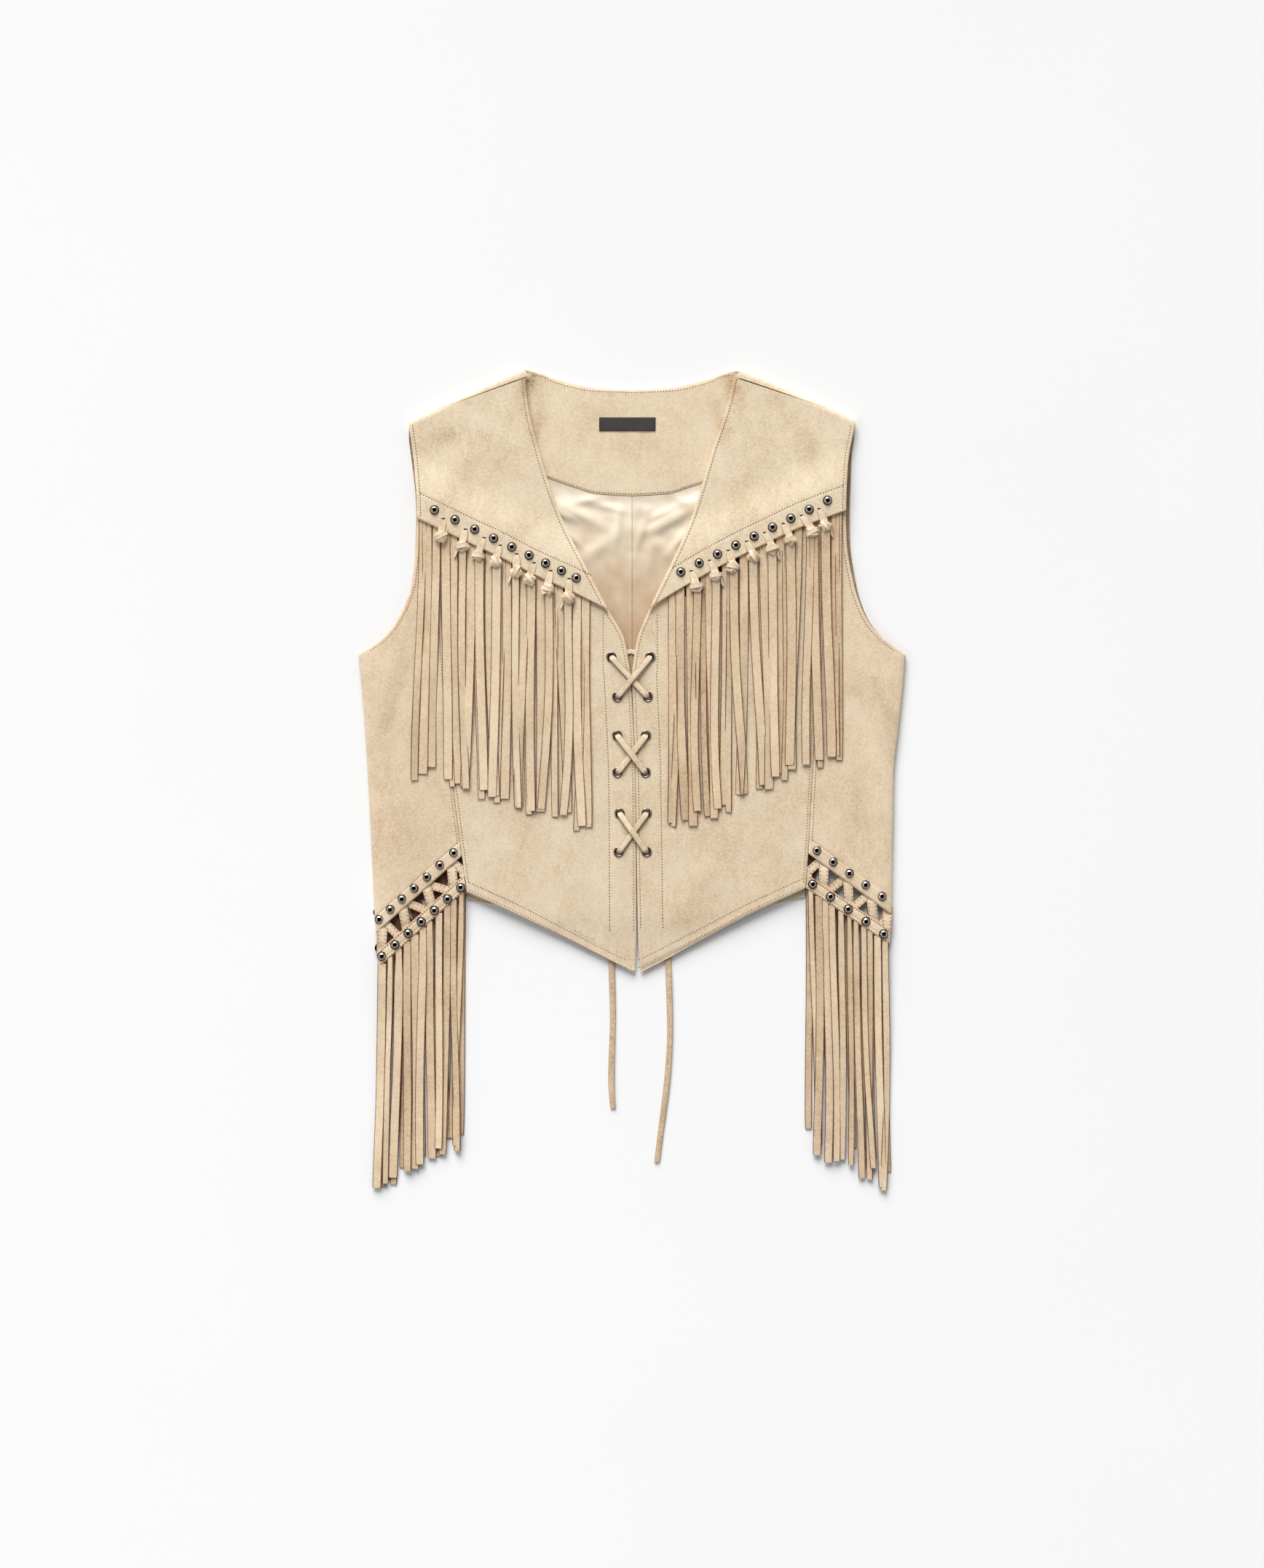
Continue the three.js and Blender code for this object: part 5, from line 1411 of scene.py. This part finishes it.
def addKnotLoop(piece, centre, slotX, slotY, tilt):
    # From the slot in the yoke over its edge into the knot.
    loop = []
    for t in evenly(0, 1, 10):
        x, y = lerp(slotX, centre.x, t), lerp(slotY, centre.y + 3.0, t)
        over = onYoke(x, max(y, trace(yokeEdge, abs(x), column(sideOf(x)))), 0).z
        arched = over + 0.05 + 0.4 * math.sin(math.pi * clamp(t * 1.1)) ** 0.7
        z = lerp(arched, centre.z + 0.2, smooth(t, 0.72, 1))
        width = lerp(knot["slotWidth"], knot["loopWidth"], smooth(t, 0, 0.5))
        half = width / 2 * lerp(1, 0.8, smooth(t, 0.7, 1))
        loop.append((Vector((x, y, z)), Vector((1, 0, tilt)), half, 0.32))
    addStrip(piece, loop, strapSection, rng.uniform(-0.2, 0.2), edgeFrom=3.5)


def makeKnots(side, sign):
    piece, slotShadows = newPiece(), newPiece()
    for k, row in enumerate(knots[side]):
        centre, slot = knotPlace(row, side, sign), row[2]
        turn = Matrix.Rotation(rng.uniform(-0.7, 0.7), 4, "Z")
        addKnotBody(piece, centre, turn, Vector((k * 3.1, sign * 5.0, 0)))
        addKnotStrap(piece, centre, turn, rng.uniform(0.2, 0.6) * (-1) ** k)
        slotX, slotY = sign * slot, trace(yokeEdge, slot, column(side)) + knot["loopReach"]
        addKnotLoop(piece, centre, slotX, slotY, 0.1 * math.sin(k * 2.1))
        if k % 3 == 1:
            start = centre + Vector((sign * 4.2, -1.5, 0.2))
            end = [(start + Vector((sign * 2.5 * s ** 1.3, -7.5 * s, -1.4 * s)), Vector((1, 0, 0.3)),
                    lerp(1.6, 0.9, s), 0.4) for s in evenly(0, 1, 6)]
            addStrip(piece, end, strapSection, -0.3, edgeFrom=1.5)
        # Painted shadow: a dark strip in each slot stands for the shadow inside the slit.
        dark = []
        for shift, half in ((-1.7, 0.3), (-0.85, 0.65), (0, 0.75), (0.85, 0.65), (1.7, 0.3)):
            dark.append((onYoke(slotX + shift, slotY + 0.7, -0.12), Vector((0, 1, 0)), half, 0.14))
        addStrip(slotShadows, dark, strapSection)
    finishPiece(f"slots_{side}", slotShadows, "slot")
    return finishPiece(f"knots_{side}", piece, "knot", sharpAngle=18)


chestFringes = {side: makeChestFringe(side, sign) for side, sign in sides}
knotPieces = {side: makeKnots(side, sign) for side, sign in sides}
print("chest fringe made")


# Hip openings: bands, lattice and fringe.

hip = {
    "bandWidth": 10.5, "steep": 8.6, "shallow": 7.4, "lines": [1.3, 9.4], "passUnder": 2.25, "reach": 6.5,
    "rolls": ([2.5], [1.9]), "sideMargin": 3.4,
}
slatSection = [(-1, -0.2), (-0.92, 0.9), (0, 1), (0.92, 0.9), (1, -0.2), (0.85, -1), (-0.85, -1)]
# Slats from the upper band to the lower one: across and height at each end, steep ones and shallow ones.
slats = {
    "right": {
        "steep": [(153.8, -71.9, 151.9, -93), (175.5, -89.3, 170.5, -107.3), (195.6, -107.3, 192.4, -124.6),
                  (212, -122.8, 213.4, -143.8)],
        "shallow": [(150.7, -71.9, 143.8, -78.1), (171.7, -89.9, 156.9, -94.2),
                    (191.6, -104.8, 174.8, -111.6), (209.9, -122.5, 199.6, -132.7)],
    },
    "left": {
        "steep": [(163.6, -72.2, 162.8, -90.5), (183.6, -83.2, 184.8, -105.4), (203.2, -98, 206.3, -121.3),
                  (217.6, -115.1, 216.8, -131.1)],
        "shallow": [(158.5, -70.9, 149.9, -78.7), (178.7, -85.7, 169.5, -93), (199.6, -99.2, 190.3, -107.2),
                    (218, -116.4, 211.2, -125)],
    },
}
# On the right the back lattice is shifted and widened, and both sides get extra slats, so that its painted
# shade fills the front lattice's holes.
backShift = {"right": (-10.0, 9.0), "left": (0, 0)}
backSlats = {"right": [(214, -128, 206, -143)], "left": [(153, -66, 152, -88), (157, -72, 149, -84)]}
# The back strands' dark tone and the darker lean of the front tones are painted shade for the gaps between
# strands.
hipStrand = {
    "front": {"width": (0.78, 1.2), "lift": (1.5, 2.5, 1.9, 2.8), "twists": (0.1, 0.15, 0.4),
              "tone": (-0.15, 0.65)},
    "back": {"width": (0.8, 1.0), "lift": (0, 0, 0, 0), "tone": (0.4, 1.0)},
    "bend": (0.8, 3.0), "drift": 2.0, "lowest": -351,
}
hipStrands = {  # count, and height of the inner and the outer tip
    "front_right": (11, -306, -350), "front_left": (11, -314, -346),
    "back_right": (11, -296, -354), "back_left": (11, -302, -334),
}


def makeHipBand(side, sign, layer):
    isFront, base, slope = layer == "front", hipBase[side], stretch(hipBase[side])
    (x0, y0), (x1, _) = base
    upper, lower = hip["rolls"]
    cols = spread([0, 0.4, 1], [0, 0.4, 1, 2, 3.2, 4.5], 2.4, 74)
    rows = sorted(set(marginSteps(upper) + [5, 6.5] + [hip["bandWidth"] - d for d in marginSteps(lower)]))

    def place(c, r):
        inner = trace(princessSeam, y0 + r * slope, column(side)) + cloth["seamGap"]
        across = lerp(inner, x1, c[0]) + c[1]
        toEdge = hip["bandWidth"] - r
        lift = seamRelief(r, upper, 0.5, 0.45) + seamRelief(toEdge, lower, 0.5, 0.45)
        return sign * across, lineHeight(base, across) + r * slope, lift, min(r, toEdge)

    faces, look = (frontFaces(onFront), "side") if isFront else (backFaces, "inside")
    band = makePanel(f"hipBand_{layer}_{side}", cols, rows, place, faces, look, f"hip_band_{layer}_{side}")
    if isFront:
        spots = evenly(x0 + 3, x1 - 1, 40)
        lines = [[(x, lineHeight(base, x) + depth * slope) for x in spots] for depth in hip["lines"]]
        sewLines(f"hipBandStitches_{side}", onFront, sign, lines, 0)
    return band


def makeLattice(side, sign, layer):
    piece, stitches = newPiece(), newPiece()
    isFront = layer == "front"
    shift = Vector((0, 0) if isFront else backShift[side])

    def addSlat(row, width, deep, tone):
        start, end = Vector(row[:2]) + shift, Vector(row[2:]) + shift
        along, length = (end - start).normalized(), (end - start).length + 2 * hip["reach"]
        middle = []
        for share in evenly(0, 1, 12):
            x, y = start + along * (length * share - hip["reach"])
            x = clamp(x, trace(princessSeam, y, column(side)) + 1, bodyEdge(y, side) - hip["sideMargin"])
            open = smooth(share, 0.18, 0.36) * (1 - smooth(share, 0.64, 0.82))
            if isFront:
                middle.append(onFront(sign * x, y, lerp(hip["passUnder"], deep, open)))
            else:
                middle.append(onBack(sign * x, y, cloth["backWall"] + 0.3 - 0.5 * deep * open))
        across = Vector((0, 0, 1)).cross((middle[-1] - middle[0]).normalized())
        half = width / 2 + (1 if not isFront and side == "right" else 0)
        addStrip(piece, [(p, across, half, 0.5) for p in middle], slatSection, tone, edgeFrom=3.5)
        if isFront:
            for edge in (-1, 1):
                aside = across * edge * (half - 1.4) + Vector((0, 0, 0.5))
                addStitches(stitches, [p + aside for p in middle[3:-3]], 3.2)

    for kind, deep, tones in (("shallow", 1.7, (-0.2, 0.3)), ("steep", 0.6, (-0.3, 0.2))):
        for row in slats[side][kind]:
            addSlat(row, hip[kind], deep, rng.uniform(*tones))
    if not isFront:
        for row in backSlats[side]:
            addSlat(row, hip["steep"], 0.6, 0.0)
    look = "strap" if isFront else "inside"
    made = finishPiece(f"hipLattice_{layer}_{side}", piece, look, f"hip_lattice_{layer}_{side}")
    if isFront:
        finishPiece(f"hipLatticeStitches_{side}", stitches, "thread")
    return made


def makeHipFringe(side, sign, layer):
    count, innerTip, outerTip = hipStrands[f"{layer}_{side}"]
    isFront, base, make = layer == "front", hipBase[side], hipStrand[layer]
    surface, wall, rise = (onFront, cloth["frontWall"], 0.6) if isFront else (onBack, cloth["backWall"], -0.6)
    x0, x1 = base[0][0] + 0.3, base[1][0]
    pitch = (x1 - x0) / count
    piece = newPiece()
    for k in range(count):
        across = x0 + (k + 0.5) * pitch + rng.uniform(-1.1, 1.1)
        top = lineHeight(base, across) + rise
        tip = max(lerp(innerTip, outerTip, (k + 0.5) / count) + rng.uniform(-7, 6), hipStrand["lowest"])
        width = pitch * rng.uniform(*make["width"])
        start = surface(sign * across, top, wall * 0.62).z
        rest = 0.35 + strand["wall"] / 2 + make["lift"][k % 4]
        phase, bend = rng.uniform(0, 6.28), rng.uniform(*hipStrand["bend"])
        drift = rng.uniform(-1, 1) * hipStrand["drift"]
        route = []
        for share in evenly(0, 1, strand["stations"] - 1):
            sway = bend * (math.sin(phase + share * 3.6) - math.sin(phase)) * share + drift * share
            hump = (0.6 * math.sin(share * 5 + phase) ** 2 * smooth(share, 0.1, 0.3)) if isFront else 0
            z = lerp(start, rest, smooth(share, 0.02, 0.3)) + hump
            route.append(Vector((sign * (across + sway + 2.5 * share), lerp(top, tip, share), z)))
        if isFront:
            twist, lean = rng.choice(make["twists"]), rng.uniform(-0.1, 0.14)
            tone, narrow = rng.uniform(*make["tone"]), rng.uniform(0, 0.3)
            addStrand(piece, route, width, lean, (twist, phase), tone, narrow)
        else:
            addStrand(piece, route, width, 0.0, (0.0, phase), rng.uniform(*make["tone"]))
    if not isFront:
        def backing(c, r):
            across = lerp(x0, x1, c)
            return sign * across, lineHeight(base, across) - (0.5 if r else 4), 0, inland

        addWall(piece, evenly(0, 1, 12), [0, 1], backing, level(onBack, 1.4), level(onBack, 0.1))
    return finishPiece(f"hipFringe_{layer}_{side}", piece, "fringe", f"fringe_hip_{layer}_{side}", 30)


bands, lattices, hipFringes = {}, {}, {}
for side, sign in sides:
    for layer in ("front", "back"):
        bands[layer, side] = makeHipBand(side, sign, layer)
        lattices[layer, side] = makeLattice(side, sign, layer)
        hipFringes[layer, side] = makeHipFringe(side, sign, layer)
print("hip openings made")


# Eyelets and the threaded lace.

def makeEyelets():
    for side, _ in sides:
        for k, row in enumerate(eyelets):
            piece = newPiece()
            place = (row[column(side)], row[0], cloth["frontTop"] + ring["lift"])
            addCopy(piece, eyeletShape, Matrix.Translation(place))
            finishPiece(f"eyeletRing_{side}_{k + 1}", piece, "eyelet", f"eyelet_{side}_{k + 1}", 60)


crossings = [  # from and to, by row of eyelets and side, and whether it lies on top
    ((5, "right"), (4, "left"), False), ((3, "left"), (2, "right"), True), ((1, "right"), (0, "left"), True),
    ((0, "right"), (1, "left"), False), ((2, "left"), (3, "right"), False), ((4, "right"), (5, "left"), True),
]
insideTurns = [math.pi / 2 * quarters for quarters in (1, 1, 1, 2, -1, -1, -1)]


def makeLace():
    top, rim = cloth["frontTop"], cloth["frontTop"] + lace["overRim"]
    inside, bore, wide = lace["inside"], lace["bore"], lace["threadedWidth"]
    stations = []

    def hole(row, side):
        return Vector((eyelets[row][column(side)], eyelets[row][0], 0))

    def add(start, turn, travel, z, width):
        centre = start + Vector((math.cos(turn) * travel, math.sin(turn) * travel, z))
        stations.append((centre, Vector((-math.sin(turn), math.cos(turn), 0)), Vector((width, 0, 0))))

    below = [(4.5, inside, wide), (1.6, inside + 0.2, wide), (0.3, inside + 1.2, bore)]
    for k, (fromHole, toHole, over) in enumerate(crossings):
        start, end = hole(*fromHole), hole(*toHole)
        turn = math.atan2(end.y - start.y, end.x - start.x)
        length = (end - start).length
        middle = top + (lace["over"] if over else lace["under"])
        rising = [(0.3, top + 0.6, bore), (1.6, rim - 0.35, wide), (5, rim, wide),
                  (length * 0.36, lerp(rim, middle, 0.75), wide)]
        for travel, z, width in below:
            add(start, insideTurns[k], -travel, z, width)
        for travel, z, width in rising:
            add(start, turn, travel, z, width)
        add(start, turn, length * 0.5, middle, wide)
        for travel, z, width in reversed(rising):
            add(start, turn, length - travel, z, width)
        for travel, z, width in reversed(below):
            add(end, insideTurns[k + 1], travel, z, width)
        if k == 2:
            # The bar between the two top holes bows up behind the opening.
            bar = (hole(0, "left") + hole(0, "right")) / 2 + Vector((0, 5, 0))
            add(bar, insideTurns[k + 1], 0, inside - 0.2, 4.2)
    finer = zip(*(smoothRoute(list(values), 3) for values in zip(*stations)))
    piece = newPiece()
    addStrip(piece, [(c, s.normalized(), w.x / 2, lace["wall"] / 2) for c, s, w in finer], foldedSection,
             edgeFrom=3, turnsOver=True)
    return finishPiece("threadedLace", piece, "lace", "lace", 60)


makeEyelets()
makeLace()
print("eyelets and lace made")


# Cut sizes of the cloth pieces, in metres: width, length and area.

def declareSheets():
    cuts = [(back, []), (facing, [labelPiece])] + [(x, []) for x in linings]
    for side, _ in sides:
        cuts += [(fronts[side], []), (sideFronts[side], [])]
        cuts += [(yokes[side], [chestFringes[side], knotPieces[side]])]
    for obj, withPieces in cuts:
        area = sum(f.area for f in obj.data.polygons) / 2
        width, length = (
            max(v.co[a] for v in obj.data.vertices) - min(v.co[a] for v in obj.data.vertices) for a in (0, 1)
        )
        print("sheet", obj.name, round(width, 4), round(length, 4), round(area, 5))
        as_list(withPieces)
    for (layer, side), band in bands.items():
        length = math.dist(*hipBase[side])


declareSheets()


# Floor and light.

studio = {
    "floor": tint(247, 247, 247), "grain": tint(246, 246, 246), "world": 0.37,
    "key": 4.05, "keySpread": 40, "fill": 16, "fillSize": 1.6,
    "sky": [(0.0, (1, 1, 1, 1)), (0.84, (1, 1, 1, 1)), (0.94, (0.12, 0.12, 0.13, 1)),
            (1.0, (0.06, 0.06, 0.06, 1))],
}


def makeFloor():
    deselectAll()
    bpy.ops.mesh.primitive_plane_add(size=60, location=(0, 0, 0))
    floor = bpy.context.object
    floor.name = "studioFloor"
    floor.data.transform(Matrix.Translation((0, 0, -0.0002)))
    material, tree, shader, coords = startMaterial("paleFloor", 0.9)
    grain = noiseNode(tree, coords, 3.0, 2.0)
    colour = rampNode(tree, grain, [(0.3, studio["floor"]), (0.7, studio["grain"])])
    tree.links.new(colour, shader.inputs["Base Color"])
    shader.inputs["Specular IOR Level"].default_value = 0.1
    floor.data.materials.append(material)


def makeLight(name, kind, location, strength, size):
    data = bpy.data.lights.new(name, kind)
    data.energy = strength
    if kind == "SUN":
        data.angle = math.radians(size)
    else:
        data.size = size
    light = bpy.data.objects.new(name, data)
    light.location = location
    light.rotation_mode = "QUATERNION"
    light.rotation_quaternion = (-Vector(location)).to_track_quat("-Z", "Y")
    bpy.context.collection.objects.link(light)


def makeStudio():
    makeFloor()
    makeLight("farWindow", "SUN", (-0.5, 2.5, 1.5), studio["key"], studio["keySpread"])
    makeLight("softBoxLeft", "AREA", (-2.8, -0.4, 2.4), studio["fill"], studio["fillSize"])
    world = bpy.data.worlds.new("paleStudio")
    bpy.context.scene.world = world
    world.use_nodes = True
    tree = world.node_tree
    background = tree.nodes["Background"]
    coords = tree.nodes.new("ShaderNodeTexCoord")
    split = tree.nodes.new("ShaderNodeSeparateXYZ")
    tree.links.new(coords.outputs["Generated"], split.inputs[0])
    tree.links.new(rampNode(tree, split.outputs["Z"], studio["sky"]), background.inputs["Color"])
    background.inputs["Strength"].default_value = studio["world"]


makeStudio()
print("studio made")
